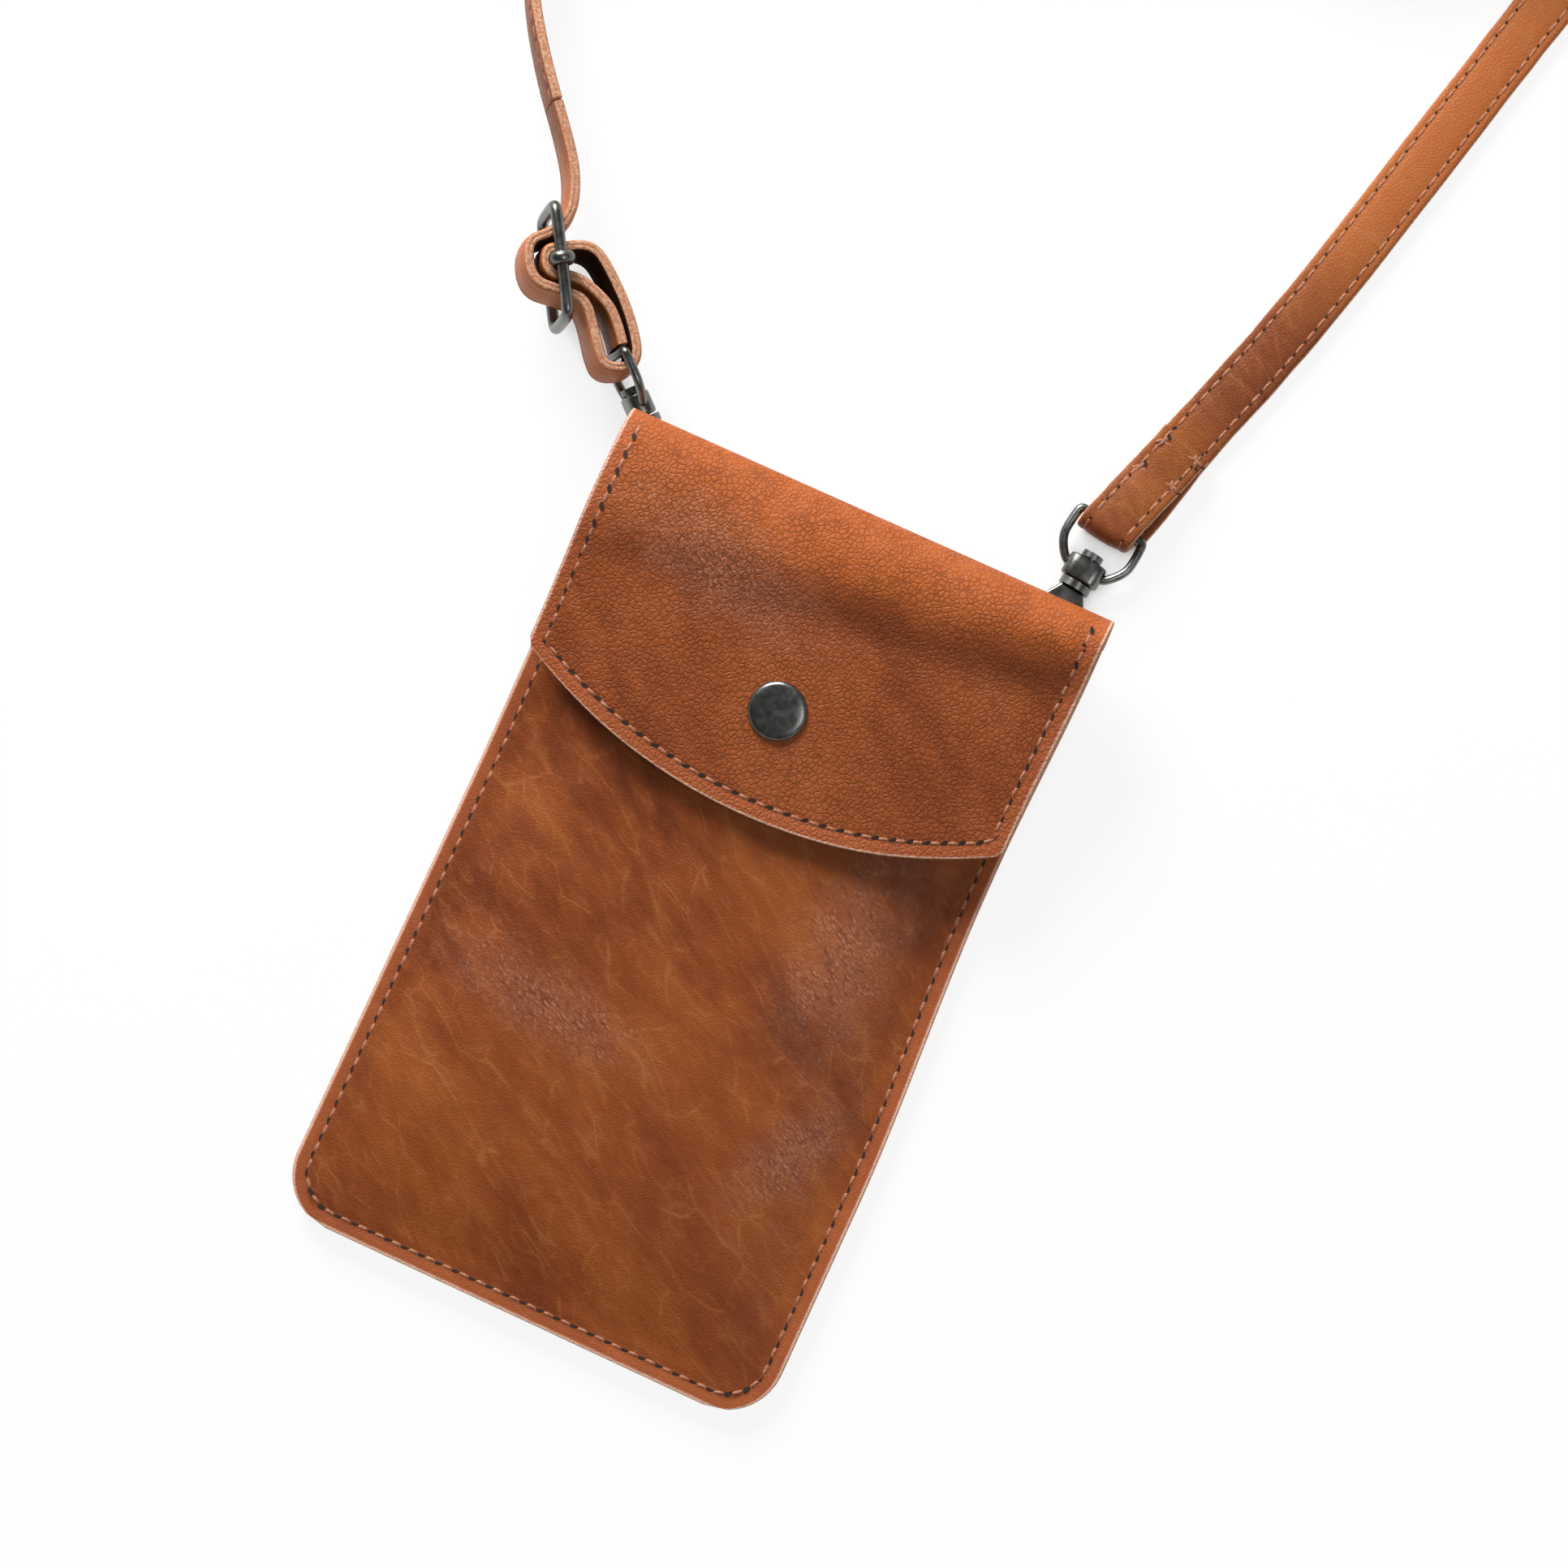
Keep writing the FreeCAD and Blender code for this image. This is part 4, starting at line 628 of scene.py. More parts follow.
def flap_place(u, v):
    x, part = -u * HALF, v * ALL_ROWS / ROLL_ROWS
    if part >= 1:
        return flap_spot(*flap_uv(u, v))
    angle = pi / 2 * (part - 1)
    x += CLIP_ROOM * eased(-x, 35, HALF) * (1 - part ** 2)
    return on_flap(x, -FOLD_RADIUS * cos(angle), FOLD_RADIUS * (1 + sin(angle)))


def flap_pull(u, v):
    """The hide is lighter on the bend, partly pull-up lightening and partly a painted highlight for the lit fold, and
    a band of painted shade lies at the foot of its crest.
    """
    x, fall = flap_uv(u, v)
    top = crest(x)
    foot = top + 8 + 2.5 * ripple(x / 16, 3.3, 0.7)
    # painted shade: a darker band where the flap steps down behind its crest
    darkening = (0.2 + 0.2 * eased(x, -20, 20)) * exp(-((fall - foot) / 4.5) ** 2)
    return 0.85 * (1 - eased(fall, top - 3, top + 8)) - darkening


def flap_suede_place(u, v):
    x = u * (HALF - 0.3)
    return flap_spot(x, flap_length(x) - 0.3 - v * (flap_length(x) - 0.5), LEATHER + PLY_GAP)


flap = ply("flap_leather", 110, ALL_ROWS, flap_place, LEATHER, [flap_hide, raw_edge],
           rim=lambda u, v: rim_share(flap_edge(*flap_uv(u, v))), pull=flap_pull)
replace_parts(flap, "flap", "flap_fold")
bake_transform(flap)
flap_suede = ply("flap_suede", 50, 34, flap_suede_place, LINING, [suede, suede], 0)
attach(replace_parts(flap_suede, "flap_lining"), "flap")
print("flap", len(flap.data.polygons), "faces")

# %% [markdown]
# A saddle stitch shows as a row of short fat strokes of thread, each pulled into a needle hole at both ends.
# One stitch is modelled from a sphere, drawn out and sunk at its ends, with a flat dark oval after it, painted shade
# for the needle hole. It is then copied along the seams, each copy turned to the seam's direction and laid on the
# hide.

# %% One stitch
STITCH_PITCH, STITCH_REACH, HOLE_CORNERS = 3.85, 1.2, 10


def stitch_pattern(pitch, radius, hole, slant):
    """Thread from one needle hole to the next, and a flat dark oval for the hole that it dives into: painted shade.
    """
    ball = fresh(bpy.ops.mesh.primitive_uv_sphere_add, segments=8, ring_count=6, radius=1)
    turned = Matrix.Rotation(pi / 2, 3, "Y")
    reach = pitch / 2 - 0.8 * hole[0]
    corners = [Vector((copysign(abs(c.x) ** 0.7, c.x) * reach, c.y * radius * 1.15,
                       0.7 * c.z * radius - 0.6 * radius * c.x ** 4)) * MM
               for c in [turned @ v.co for v in ball.data.vertices]]
    faces = [list(p.vertices) for p in ball.data.polygons]
    kinds = [0] * len(faces) + [1]
    bpy.data.objects.remove(ball)
    faces.append([len(corners) + k for k in range(HOLE_CORNERS)])
    for k in range(HOLE_CORNERS):
        angle = k * 2 * pi / HOLE_CORNERS
        oval = Matrix.Rotation(radians(slant), 2) @ Vector((hole[0] * cos(angle), hole[1] * sin(angle)))
        corners.append(Vector((pitch / 2 + oval.x, oval.y, 0.06)) * MM)
    return corners, faces, kinds


def seat(middle, along, up):
    """Where a stitch lies: X along the seam, Z off the leather."""
    along = along.normalized()
    side = up.cross(along).normalized()
    return axes(along, side, along.cross(side)), middle


def seat_on(spot, middle, along, up):
    """A stitch's seat on a face, from the face's places before and after the stitch's middle."""
    first, last = [spot(*(middle + along * step)) for step in (-STITCH_REACH, STITCH_REACH)]
    return seat((first + last) / 2, last - first, up)


def sewn(mesh, pattern, seats, shift=0):
    """A mesh's corners, faces and finishes with a copy of the pattern at each seat, its finishes shifted."""
    corners, faces, kinds = mesh
    for turned, middle in seats:
        first = len(corners)
        corners += [turned @ c + middle for c in pattern[0]]
        faces += [[first + i for i in face] for face in pattern[1]]
        kinds += [shift + kind for kind in pattern[2]]
    return mesh


def shaped(name, corners, faces, kinds, finishes, pulls=()):
    """A new mesh object from corners in metres, faces and the finish of each face."""
    mesh = bpy.data.meshes.new(name)
    mesh.from_pydata([tuple(c) for c in corners], [], faces)
    mesh.polygons.foreach_set("material_index", kinds)
    mesh.polygons.foreach_set("use_smooth", [True] * len(faces))
    mesh.set_sharp_from_angle(angle=radians(60))
    if pulls:
        mesh.attributes.new("pull", "FLOAT", "POINT").data.foreach_set("value", pulls)
    for finish in finishes:
        mesh.materials.append(finish)
    made = bpy.data.objects.new(name, mesh)
    scene.collection.objects.link(made)
    return made


def walked(line, pitch, begun=0.0):
    """Places at an even pitch along a line, each with its direction and the number of its stretch."""
    found, due = [], (pitch / 2 - begun) % pitch
    for i, (here, there) in enumerate(zip(line, line[1:])):
        step = (there - here).length
        while due <= step:
            found.append((here.lerp(there, due / step), (there - here).normalized(), i))
            due += pitch
        due -= step
    return found


# %% Seam and flap stitching
UNDER_HEIGHT = 0.22  # the stitches under the back are sunk into it
ROLL_START = -4.6
side, inner = HALF - SEAM_INSET, CORNER - SEAM_INSET
corner_turn = [radians(90 * k / 8) for k in range(9)]
seam_line = [Vector((-side, MOUTH_AT - 1))]
seam_line += [Vector((-HALF + CORNER - inner * cos(a), CORNER - inner * sin(a))) for a in corner_turn]
seam_line += [Vector((HALF - CORNER + inner * sin(a), CORNER - inner * cos(a))) for a in corner_turn]
seam_line += [Vector((side, MOUTH_AT - 1))]
stitch = stitch_pattern(STITCH_PITCH, 0.34, (0.92, 0.48), 26)
seats = []
for middle, along, _ in walked(seam_line, STITCH_PITCH):
    up = on_back(*middle, 10) - on_back(*middle, 0)
    seats.append(seat_on(on_front, middle, along, up))
    seats.append(seat_on(lambda x, run: on_back(x, run, UNDER_HEIGHT), middle, along, -up))
seam = shaped("seam_stitches", *sewn(([], [], []), stitch, seats), [thread, needle_hole_shade])
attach(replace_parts(seam, "seam_thread"), "pouch")

low_line = [Vector((x, flap_arc(x) - SEAM_INSET - 0.2)) for x in range(-50, 51, 2)]
side_low = low_line[0].y - 1.4
flap_line = [Vector((-side, ROLL_START)), Vector((-side, side_low)), *low_line, Vector((side, side_low)),
             Vector((side, ROLL_START))]
seats = []
for middle, along, _ in walked(flap_line, STITCH_PITCH):
    x, fall = middle
    up = (flap_spot(x + 1, fall) - flap_spot(x - 1, fall)).cross(flap_spot(x, fall - 0.5) - flap_spot(x, fall + 0.5))
    seats.append(seat_on(flap_spot, middle, along, up))
flap_seam = shaped("flap_stitches", *sewn(([], [], []), stitch, seats), [thread, needle_hole_shade])
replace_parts(flap_seam, "flap_thread")
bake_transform(flap_seam)
print("seam stitches", len(seats), "on the flap")

# %% [markdown]
# A strap is drawn by carrying one cross-section along its line: two plies of hide with eased corners and a fine
# groove where the plies meet at the cut edge. Its two rows of stitches are laid on the outer face in the same mesh,
# so that they bend with it. The strap is cut into lengths, with cuts near each clip.

# %% Ribbon of leather
# A quarter of the section: shares of half the width and half the thickness, and 1 where the cut edge shows
QUARTER = [(1, 0.12, 1), (0.995, 0.5, 1), (0.967, 0.78, 0), (0.9, 0.92, 0), (0.8, 1, 0), (0.683, 0.9, 0),
           (0.567, 1.06, 0), (0.3, 1.2, 0)]
GROOVE = 0.12


def section(width, thickness):
    """The outline of a crowned ribbon, across and through, with the finish of the stretch that follows."""
    w, t = width / 2, thickness / 2
    quarter = [(w * a, t * b, k) for a, b, k in QUARTER]
    mirrored = [(-a, b, before) for (a, b, _), (_, _, before) in zip(quarter[:0:-1], quarter[-2::-1])]
    top = quarter + mirrored + [(-w, QUARTER[0][1] * t, 1)]
    low = [(-a, -b, k) for a, b, k in top]
    return top + [(-w + GROOVE, 0, 1)] + low + [(w - GROOVE, 0, 1)]


def squared(wide, ahead):
    """The direction across a ribbon, at right angles to the way ahead, and the one out of its outer face."""
    wide = (wide - ahead * wide.dot(ahead)).normalized()
    return wide, wide.cross(ahead)


def ribbon(line, wides, width, thickness):
    """Corners, faces and finishes of a ribbon: line and wides in millimetres, its outer face first."""
    outline = section(width, thickness)
    corners, faces, kinds = [], [], []
    count = len(outline)
    for i, (point, wide) in enumerate(zip(line, wides)):
        wide, out = squared(wide, (line[min(i + 1, len(line) - 1)] - line[max(i - 1, 0)]).normalized())
        uneven = 1 + 0.03 * noise.noise(point / 5)
        corners += [(point + wide * (a * uneven) + out * b) * MM for a, b, _ in outline]
        if i:
            first = (i - 1) * count
            for k in range(count):
                after = (k + 1) % count
                faces.append([first + k, first + after, first + count + after, first + count + k])
                kinds.append(outline[k][2])
    faces.append(list(range(count)))
    faces.append([len(corners) - count + k for k in reversed(range(count))])
    return corners, faces, kinds + [1, 1]


STRAP_PITCH, ROW_OFFSET, ROW_HEIGHT = 3.45, 4.1, 1.1
LOOP_START = 26  # the strap's lean and its colour change over this length
strap_stitch = stitch_pattern(STRAP_PITCH, 0.3, (0.4, 0.3), 30)


def row_seats(line, wides, begun=0.0):
    """Two rows of stitches on a ribbon's outer face, in step with the length before it."""
    found = []
    for offset in (-ROW_OFFSET, ROW_OFFSET):
        for middle, ahead, i in walked(line, STRAP_PITCH, begun):
            wide, out = squared(wides[i], ahead)
            found.append(seat((middle + wide * offset + out * ROW_HEIGHT) * MM, ahead, out))
    return found


def strap_piece(name, line, wides, seats=None, begun=0.0, looped=False, fade=None):
    """A length of strap with its stitch rows, lighter away from the pouch; in a loop its faces are painted lighter
    past the loop's start and its inner faces take a dark painted-shade material.
    """
    corners, faces, kinds = ribbon(line, wides, STRAP_WIDTH, STRAP_THICKNESS)
    around = len(section(STRAP_WIDTH, STRAP_THICKNESS))
    pulls = [0.9 * eased(c.y / MM, 160, 195) for c in corners]
    if fade:
        pulls = [pull * fade(i / len(corners)) for i, pull in enumerate(pulls)]
    # Painted light on the loop's faces past its start, and painted shade on its inner faces.
    if looped:
        pulls = [0.9 * eased((c / MM - line[0]).length, 0, LOOP_START) for c in corners]
        for face in range(len(kinds) - 2):
            inside = face % around >= around // 2 and (line[face // around] - line[0]).length > LOOP_START
            kinds[face] = 4 if inside and kinds[face] == 0 else kinds[face]
    ribbon_corners = len(corners)
    sewn((corners, faces, kinds), strap_stitch, row_seats(line, wides, begun) if seats is None else seats, 2)
    pulls += [0.0] * (len(corners) - ribbon_corners)
    return shaped(name, corners, faces, kinds, [strap_hide, raw_edge, thread, needle_hole_shade, loop_inside_shade],
                          pulls)


# %% Strap lengths
def length_of(line):
    return sum((b - a).length for a, b in zip(line, line[1:])) * MM


def index_at(distance):
    """The strap's point nearest to a distance along it."""
    return min(range(len(travel)), key=lambda i: abs(travel[i] - distance))


def cut(low, high):
    """The strap's points between two distances along it, with one shared at each cut."""
    first, last = index_at(low), index_at(high) + 1
    return strap_line[first:last], strap_wide[first:last]


NEAR_END, FAR_END = 76, 153
RIGHT_CUTS, LEFT_CUTS = (0, NEAR_END, FAR_END), (travel[-1] - FAR_END, travel[-1] - NEAR_END, travel[-1])
right_near = strap_piece("strap_right_near", *cut(*RIGHT_CUTS[:2]))
right_far = strap_piece("strap_right_far", *cut(*RIGHT_CUTS[1:]), begun=length_of(cut(*RIGHT_CUTS[:2])[0]) / MM)
middle_strap = strap_piece("strap_middle", *cut(RIGHT_CUTS[2], LEFT_CUTS[0]),
                           begun=length_of(cut(0, RIGHT_CUTS[2])[0]) / MM, fade=lambda f: 1 - 0.6 * eased(f, 0, 0.1))
left_far = strap_piece("strap_left_far", *cut(*LEFT_CUTS[:2]), fade=lambda f: 0.4 + 0.6 * f)
left_near = strap_piece("strap_left_near", *cut(*LEFT_CUTS[1:]))

# %% [markdown]
# The coil outside the picture is held by a band of kraft paper, pale brown and dull, round its two strands at the
# right. The band is a grid wrapped round the strands point by point and given the thickness of paper.

# %% Paper band
kraft = speckled("kraft_paper", 0.7, [(0.3, "A98A66"), (0.7, "C2A37C")], {"Roughness": 0.9}, 3)
BAND_MIDDLE, BAND_HALF, BAND_WIDTH, BAND_PAPER = Vector((94.1, 313, 6.2)), (4.9, 6.15), 8, 0.08
BAND_POWER = 8  # of the rounded oblong round the strands


def band_place(u, v):
    """Round the two strands with eased corners: u runs once round, v across the band."""
    a, b = cos(pi * u), sin(pi * u)
    share = (abs(a) ** BAND_POWER + abs(b) ** BAND_POWER) ** (-1 / BAND_POWER)
    return (BAND_MIDDLE + Vector((a * share * BAND_HALF[0], (v - 0.5) * BAND_WIDTH, b * share * BAND_HALF[1]))) * MM


band = ply("coil_band", 64, 2, band_place, BAND_PAPER, [kraft, kraft], 0)
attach(band, "pouch")

# %% [markdown]
# At the right ring the strap's end is turned round the ring's bar and sewn back on itself with two rows across it.
# At the left ring the strap runs over the slider's frame, through the ring and back round the slider's middle bar.
# Both follow their own spline in the plane that the CAD gives them.

# %% Turned end at the right ring
turned_points = [(6, -2.3), (1.5, -2.35), (-2.7, -2.6), (-2.7, 2.6), (1.5, 2.4), (7, 2.3), (10.5, 1.2), (14, 0.15),
                 (18, 0.15), (23, 0.15)]
turned_line = spline_points([(RING + ALONG_RIGHT * s + UP * h) for s, h in turned_points])
top_layer = [p for p in turned_line if p.z > RING.z]
sewn_on = row_seats(top_layer, [BAR_WAY] * len(top_layer))
# Across the strap: three even stitches and four tacks at their ends, as place across, turn in degrees and extra rise
CROSS_ROW = [(k, 0, 0) for k in (-2.6, 0, 2.6)]
CROSS_ROW += [(-4.3, 40, 0.12), (-3.9, 75, 0.12), (4.0, -60, 0.12), (4.4, -20, 0.12)]
for s, rise in ((13.2, 1.62), (20.6, 1.4)):
    for k, turned, more in CROSS_ROW:
        way = Matrix.Rotation(radians(turned), 3, "Z") @ BAR_WAY
        sewn_on.append(seat((RING + ALONG_RIGHT * s + BAR_WAY * k + UP * (rise + more)) * MM, way, UP))
turned_end = strap_piece("strap_turned_end", turned_line, [-BAR_WAY] * len(turned_line), sewn_on)
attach(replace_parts(turned_end, "strap_right_end"), "right_eye")

# %% Slider loop at the left ring
SLIDER = Vector((-82.84, 110.43, 13.18))
LOOP_ON = Vector((0.52452, -0.85139, -0.00216))
LOOP_ASIDE = Vector((-0.81724, -0.50418, 0.27913))
LOOP_WIDE = Vector((0.23874, 0.14464, 0.96025))
loop_points = [(-34, -3.9), (-26, -5.2), (-18, -5.7), (-9.8, -3.9), (-6.2, 1.0), (-5.0, 6.4), (3.6, 6.4), (6.0, 0.4),
               (8.2, -4.4), (13.5, -5.4), (18.5, -5.8), (23.2, -7.0), (22.9, -14.3), (13.0, -13.6), (3.0, -10.6),
               (-3.3, -7.4), (-3.0, 0.0), (-2.7, 2.8), (2.7, 2.8), (2.9, -2.8), (7.8, -8.0), (12.6, -10.6),
               (18.2, -11.2)]
loop_line = spline_points([SLIDER + LOOP_ON * a + LOOP_ASIDE * b for a, b in loop_points], 6)
loop_wide = []
for point in loop_line:
    into_loop = eased((point - loop_line[0]).length, 0, LOOP_START)
    loop_wide.append((strap_wide[-1] * (1 - into_loop) - LOOP_WIDE * into_loop).normalized())
slider_loop = strap_piece("strap_slider_loop", loop_line, loop_wide, [], looped=True)
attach(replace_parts(slider_loop, "strap_left_loop"), "left_eye")

# %% [markdown]
# Each clip hangs from a small leather tab: a strip folded round the hook's bow and sewn under the lifted back.
# It hides under the pouch, so it only needs the strip's own line and the raw cut of its edges.

# %% Hanger tabs
# Each clip's middle of the bow, its direction across and its direction to the ring
RIGHT_CLIP = Vector((40.5, 78.3, 3.6)), BAR_WAY, Vector((0.1219, 0.9925, 0))
LEFT_CLIP = Vector((-40.5, 78.3, 4.3)), Vector((0.66913, 0.74314, 0)), Vector((-0.73094, 0.65814, 0.18052))
TAB_WIDTH, TAB_LEATHER, TAB_SPLAY, BOW_RADIUS = 5.5, 1.0, radians(20), 5.15


def tab_piece(name, sign, origin, clip_u, clip_v):
    along = Vector((sign * sin(TAB_SPLAY), 0, 0)) + SLOPE_ON * cos(TAB_SPLAY)
    foot = Vector((-along.dot(clip_u), -along.dot(clip_v))).normalized() * BOW_RADIUS
    middle = origin + SLOPE_UP * (clip_u * foot.x + clip_v * foot.y).dot(SLOPE_UP)
    high = SLOPE_UP.dot(SLOPE_FOOT - middle) - 0.55
    low = high - TAB_LEATHER - 0.05
    corners = [(-22, high), (-12, high), (-4, high), (-1.5, high), (-1.5, -2.4), (-7, -2.4), (-13, low), (-17, low),
               (-22, low)]
    line = spline_points([middle + along * a + SLOPE_UP * b for a, b in corners], 6)
    wides = [along.cross(SLOPE_UP)] * len(line)
    return shaped(name, *ribbon(line, wides, TAB_WIDTH, TAB_LEATHER), [strap_hide, raw_edge])


right_tab = tab_piece("hanger_tab_right", 1, *RIGHT_CLIP)
left_tab = tab_piece("hanger_tab_left", -1, *LEFT_CLIP)
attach(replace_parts(right_tab, "right_tab"), "pouch")
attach(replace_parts(left_tab, "left_tab"), "pouch")

# %% [markdown]
# The snap's cap is a thin pressed disc, nearly flat, with a rolled rim. A cylinder primitive is inset on its top face
# again and again, each time a little higher, which leaves a low dome with a soft shoulder that catches the light.

# %% Snap cap
CAP_RADIUS, CAP_EDGE = 6.15, 0.5
CAP_STEPS = ((0.14, 0.3), (0.3, 0.26), (0.5, 0.16), (0.8, 0.09), (1.2, 0.04), (1.6, 0.02))  # inset and rise


def edit_only(piece, kind, wanted):
    """Opens the active piece in edit mode with only the wanted faces or edges selected."""
    bpy.ops.object.mode_set(mode="EDIT")
    bpy.ops.mesh.select_mode(type=kind)
    bpy.ops.mesh.select_all(action="DESELECT")
    bpy.ops.object.mode_set(mode="OBJECT")
    for part in piece.data.polygons if kind == "FACE" else piece.data.edges:
        part.select = wanted(part)
    bpy.ops.object.mode_set(mode="EDIT")


def moved_to(piece, origin, across, along):
    """Puts a piece modelled in millimetres at the origin to its place, with its own X and Y directions."""
    piece.data.transform(Matrix.Translation(origin * MM) @ axes(across, along, across.cross(along))
                         @ Matrix.Scale(MM, 4))
    piece.data.update()
    return piece


cap = fresh(bpy.ops.mesh.primitive_cylinder_add, vertices=72, radius=CAP_RADIUS, depth=CAP_EDGE,
            location=(0, 0, CAP_EDGE / 2))
bpy.ops.object.transform_apply(location=True)
cap.name = cap.data.name = "snap_disc"
edit_only(cap, "FACE", lambda face: face.normal.z > 0.9)
for inset, rise in CAP_STEPS:
    bpy.ops.mesh.inset(thickness=inset, depth=rise)
bpy.ops.object.mode_set(mode="OBJECT")
smooth(60)
cap.data.materials.append(gunmetal)
moved_to(cap, on_slope(SNAP_ACROSS, FOLD_RUN - SNAP_FALL, 2 * FOLD_RADIUS) / MM, Vector((1, 0, 0)), SLOPE_ON)
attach(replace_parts(cap, "snap_cap"), "flap")
print("snap disc", [round(d * 1000, 1) for d in cap.dimensions])

# %% [markdown]
# The strap rings and the slider are bent from round wire. Each is a closed curve with a round bevel, turned into a
# mesh, so its corners are as round as the real ones. The ring passes through a barrel that turns on the clip's post.

# %% Wire work
def pick(*pieces):
    """Selects these pieces alone and makes the first one active."""
    bpy.ops.object.select_all(action="DESELECT")
    for piece in pieces:
        piece.select_set(True)
    bpy.context.view_layer.objects.active = pieces[0]


def wire_loop(name, corners, radius):
    """A closed loop of round wire through smooth control points in millimetres."""
    wire = nurbs(name, corners, 8, closed=True)
    wire.data.bevel_resolution, wire.data.bevel_depth = 5, radius
    pick(wire)
    bpy.ops.object.convert(target="MESH")
    bpy.ops.object.shade_smooth()
    return bpy.context.object


def joined_as(name, *pieces):
    pick(*pieces)
    if len(pieces) > 1:
        bpy.ops.object.join()
    made = pieces[0]
    made.name = made.data.name = name
    made.data.materials.clear()
    made.data.materials.append(gunmetal)
    return made


RING_HALF, RING_LOW, RING_HIGH, RING_WIRE = 7.7, 20.6, 32.0, 0.95
EYE_LOW, EYE_WIDTH, EYE_HEIGHT, EYE_THICKNESS = 18.1, 8.4, 5.0, 5.2
ring_corners = [(RING_HALF - 2, RING_HIGH), (RING_HALF - 0.2, RING_HIGH), (RING_HALF, RING_HIGH - 2.0),
                (RING_HALF + 0.1, RING_HIGH - 4.5), (RING_HALF - 0.1, RING_LOW + 4.2),
                (RING_HALF - 2.4, RING_LOW + 0.9), (3.4, RING_LOW - 0.1), (0, RING_LOW)]
ring_corners += [(-x, y) for x, y in reversed(ring_corners[:-1])]


def swivel_eye(name, origin, across, along):
    ring = wire_loop(name, [(x, y, 0) for x, y in ring_corners], RING_WIRE)
    barrel = fresh(bpy.ops.mesh.primitive_cube_add, size=1, location=(0, EYE_LOW + EYE_HEIGHT / 2, 0),
                   scale=(EYE_WIDTH, EYE_HEIGHT, EYE_THICKNESS))
    bpy.ops.object.transform_apply(location=True, scale=True)
    heights = [v.co.y for v in barrel.data.vertices]
    edit_only(barrel, "EDGE", lambda edge: abs(heights[edge.vertices[0]] - heights[edge.vertices[1]]) > 1)
    bpy.ops.mesh.bevel(offset=2.3, segments=6, affect="EDGES")
    bpy.ops.object.mode_set(mode="OBJECT")
    rounded(barrel, 0.6, 3)
    smooth()
    return moved_to(joined_as(name, ring, barrel), origin, across, along)


LEFT_ROLL = radians(74.5)
left_middle, left_flat, left_along = LEFT_CLIP
left_across = left_flat * cos(LEFT_ROLL) + left_flat.cross(left_along) * sin(LEFT_ROLL)
right_ring = swivel_eye("right_swivel_ring", *RIGHT_CLIP)
left_ring = swivel_eye("left_swivel_ring", left_middle, left_across, left_along)
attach(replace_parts(right_ring, "right_eye"), "right_eye")
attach(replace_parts(left_ring, "left_eye"), "left_eye")

SLIDER_HALF, SLIDER_RAIL, SLIDER_WIRE, BAR_RADIUS = 11.75, 7.9, 1.25, 1.0
slider_corners = [(SLIDER_HALF, 0), (SLIDER_HALF, SLIDER_RAIL - 3.6), (SLIDER_HALF - 0.4, SLIDER_RAIL - 0.4),
                  (SLIDER_HALF - 3.6, SLIDER_RAIL), (0, SLIDER_RAIL)]
slider_corners += [(-x, y) for x, y in reversed(slider_corners[:-1])]
slider_corners += [(x, -y) for x, y in reversed(slider_corners[1:-1])]
bent_wire = wire_loop("frame_wire", [(x, 0, z) for x, z in slider_corners], SLIDER_WIRE)
wire_frame = joined_as("slider_wire_frame", bent_wire)
moved_to(wire_frame, SLIDER, LOOP_ON, LOOP_ASIDE)
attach(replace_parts(wire_frame, "slider_frame"), "left_eye")
bar_parts = [fresh(bpy.ops.mesh.primitive_cylinder_add, vertices=24, radius=BAR_RADIUS, depth=2 * SLIDER_RAIL - 2.4)]
smooth()
for end in (-1, 1):
    collar = fresh(bpy.ops.mesh.primitive_torus_add, major_segments=36, minor_segments=14, major_radius=1.9,
                   minor_radius=1.0, location=(0, 0, end * SLIDER_RAIL), rotation=(0, pi / 2, 0))
    bpy.ops.object.transform_apply(location=True, rotation=True)
    for vertex in collar.data.vertices:
        vertex.co.x *= 1.35
    bpy.ops.object.shade_smooth()
    bar_parts.append(collar)
middle_bar = moved_to(joined_as("slider_middle_bar", *bar_parts), SLIDER, LOOP_ON, LOOP_ASIDE)
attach(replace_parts(middle_bar, "slider_bar"), "left_eye")
print("wire work", [p.name for p in (right_ring, left_ring, wire_frame, middle_bar)])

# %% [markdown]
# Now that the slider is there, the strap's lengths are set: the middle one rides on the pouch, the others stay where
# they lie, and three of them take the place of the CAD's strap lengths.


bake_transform(right_near)
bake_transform(right_far)
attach(middle_strap, "pouch")
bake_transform(left_far)
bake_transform(left_near)
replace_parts(right_far, "strap_right_run")
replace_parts(middle_strap, "strap_twist", "strap_coil")
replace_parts(left_far, "strap_left_run")

# %% [markdown]
# A bowed leaf of spring steel closes each gate from inside the clip's slot. It is a ribbon along a short spline that
# rides on the hook.

# %% Gate springs
LEAF_LINE = [(-0.85, 14.15), (-0.9, 12.8), (-1.2, 11.2), (-1.7, 9.9)]
LEAF_WIDTH, LEAF_STEEL = 1.2, 0.25


def leaf_spring(side, origin, across, along):
    line = spline_points([origin + across * a + along * b for a, b in LEAF_LINE])
    wides = [across.cross(along)] * len(line)
    made = shaped(side + "_leaf_spring", *ribbon(line, wides, LEAF_WIDTH, LEAF_STEEL), [gunmetal, gunmetal])
    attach(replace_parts(made, side + "_gate_spring"), side + "_hook")
    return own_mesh(made)


leaf_spring("right", *RIGHT_CLIP)
leaf_spring("left", *LEFT_CLIP)

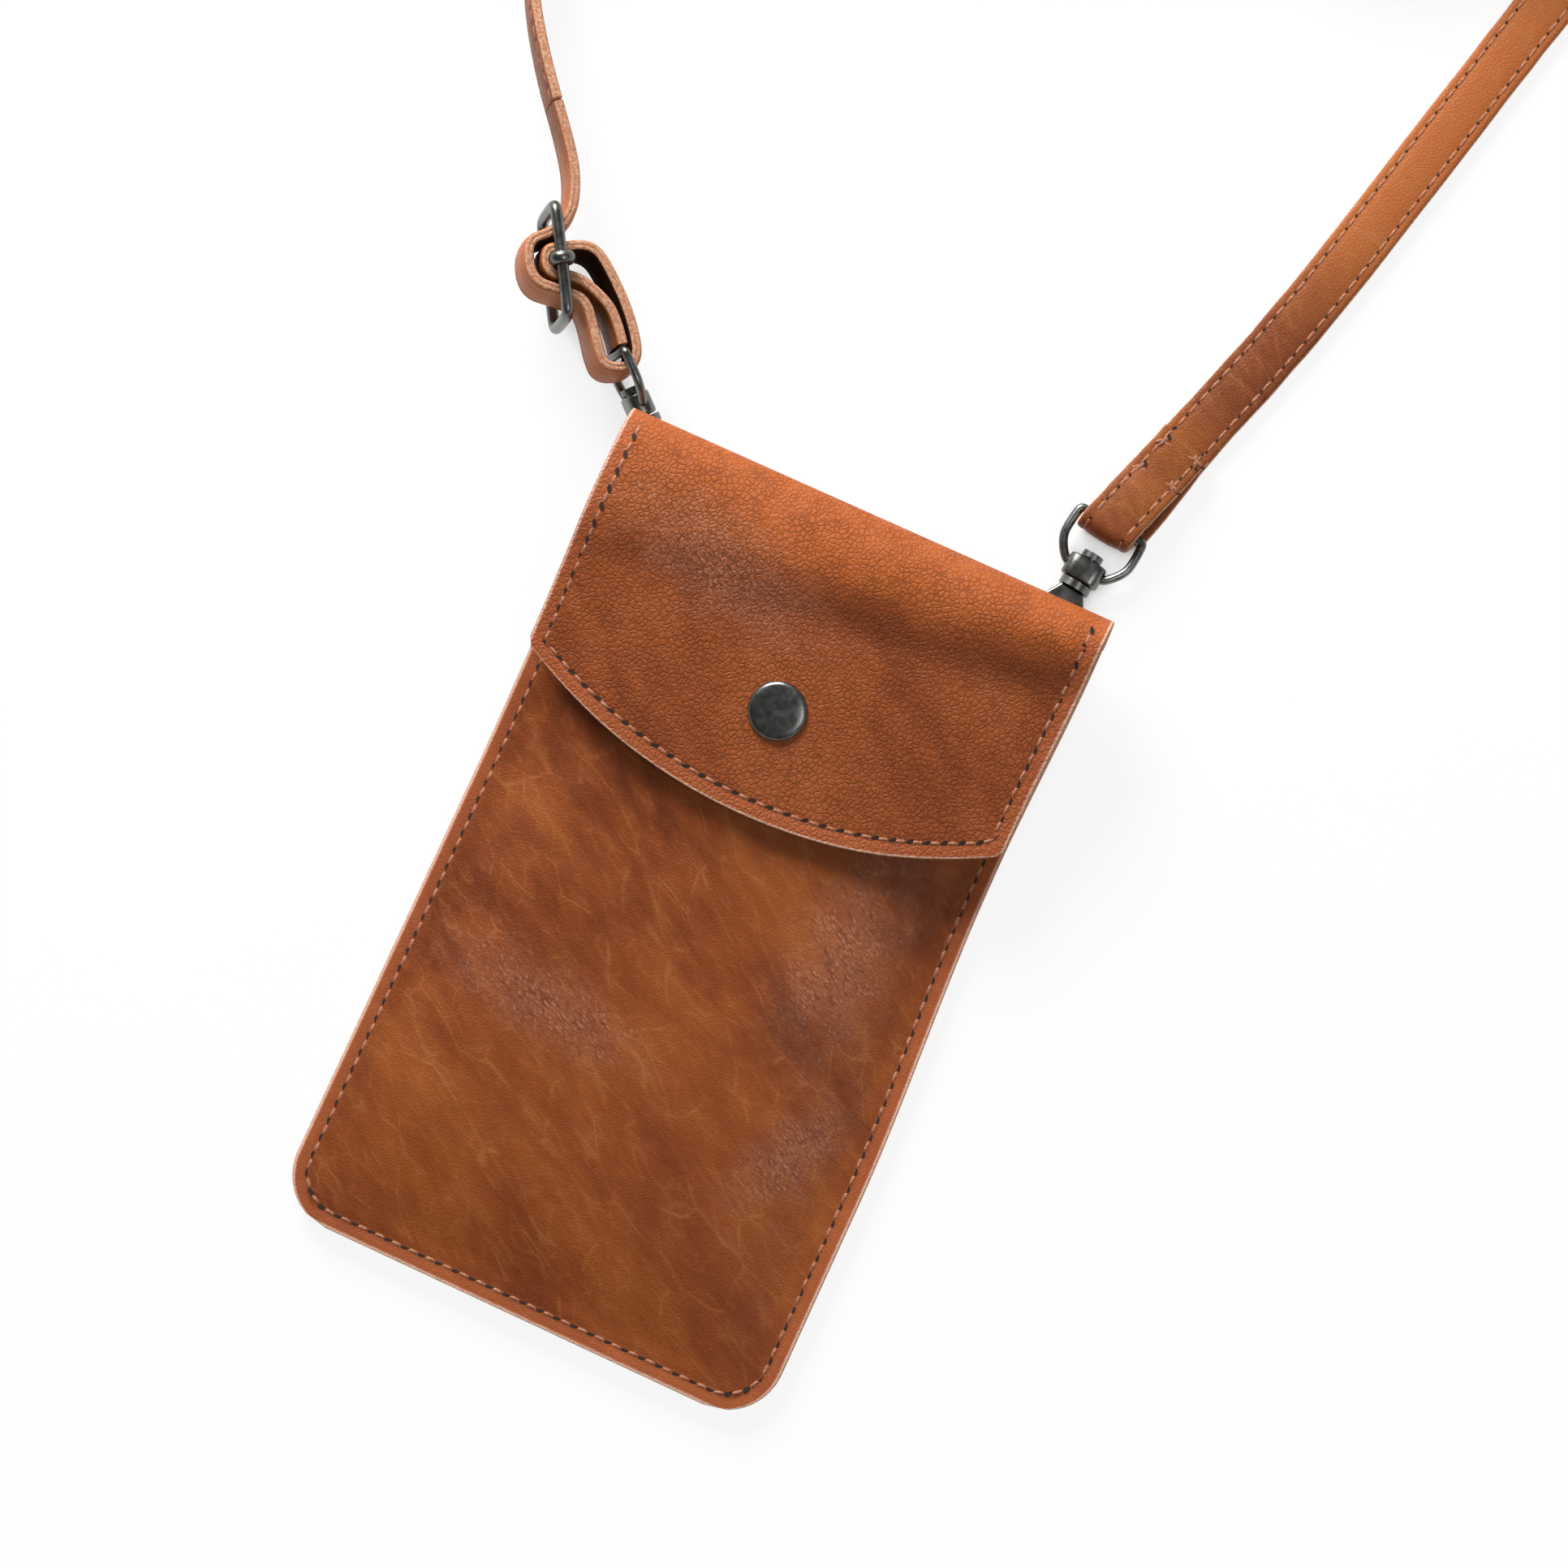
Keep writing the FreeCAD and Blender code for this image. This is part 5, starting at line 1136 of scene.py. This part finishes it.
# %% [markdown]
# The picture is a studio packshot: a white table and soft light from above, a little from the upper left, with faint
# shadows. The table is a large pale sheet. The world is a white backdrop round the table and a dim ceiling over it,
# so that the oiled hide, seen from above, mirrors the ceiling and keeps its deep colour.

# %% Table and light
table = fresh(bpy.ops.mesh.primitive_plane_add, size=8, location=(0, 0, -0.0002))
table.name = "table"
paper = speckled("white_paper_table", 25, [(0.3, "FAFAFA"), (0.7, "FCFCFC")],
                 {"Roughness": 0.9, "Specular IOR Level": 0.1})
put = functools.partial(add, paper.node_tree)
ray = put("LightPath").outputs
seen = put("Math", (ray["Is Camera Ray"], ray["Is Glossy Ray"]), operation="ADD")
shown = put("Math", (seen, ray["Is Transmission Ray"]), operation="ADD", use_clamp=True)
open_sky = put("AmbientOcclusion", {"Distance": 25 * MM}, samples=8).outputs["AO"]
in_the_open = put("MapRange", (open_sky, 0.15, 0.5, 0, 0.88), interpolation_type="SMOOTHSTEP")
lit_from_below = put("Math", (shown, in_the_open), operation="MULTIPLY")
white = put("Emission", {"Color": (1, 1, 1, 1), "Strength": 1.0})
lightbox = put("MixShader", (lit_from_below, paper.node_tree.nodes["Principled BSDF"], white))
feed(paper.node_tree.nodes["Material Output"], {"Surface": lightbox})
table.data.materials.append(paper)

world = bpy.data.worlds.new("studio")
scene.world = world
world.use_nodes = True
put = functools.partial(add, world.node_tree)
upward = put("SeparateXYZ", [put("TexCoord").outputs["Generated"]]).outputs["Z"]
strength = put("MapRange", (upward, 0.02, 0.4, 1.0, 0.12), interpolation_type="SMOOTHSTEP")
feed(world.node_tree.nodes["Background"], {"Color": (1, 1, 1, 1), "Strength": strength})


def softbox(name, place, target, size, power):
    lamp = fresh(bpy.ops.object.light_add, type="AREA", location=place)
    lamp.name = name
    lamp.rotation_mode = "QUATERNION"
    lamp.rotation_quaternion = (Vector(target) - Vector(place)).to_track_quat("-Z", "Y")
    lamp.data.shape, lamp.data.size = "SQUARE", size
    lamp.data.energy = power


softbox("main_softbox", (-0.8, 0.98, 0.72), (0, 0.05, 0), 0.7, 33)
softbox("side_softbox", (0.5, -0.05, 1.0), (0, 0.02, 0), 0.4, 2.5)
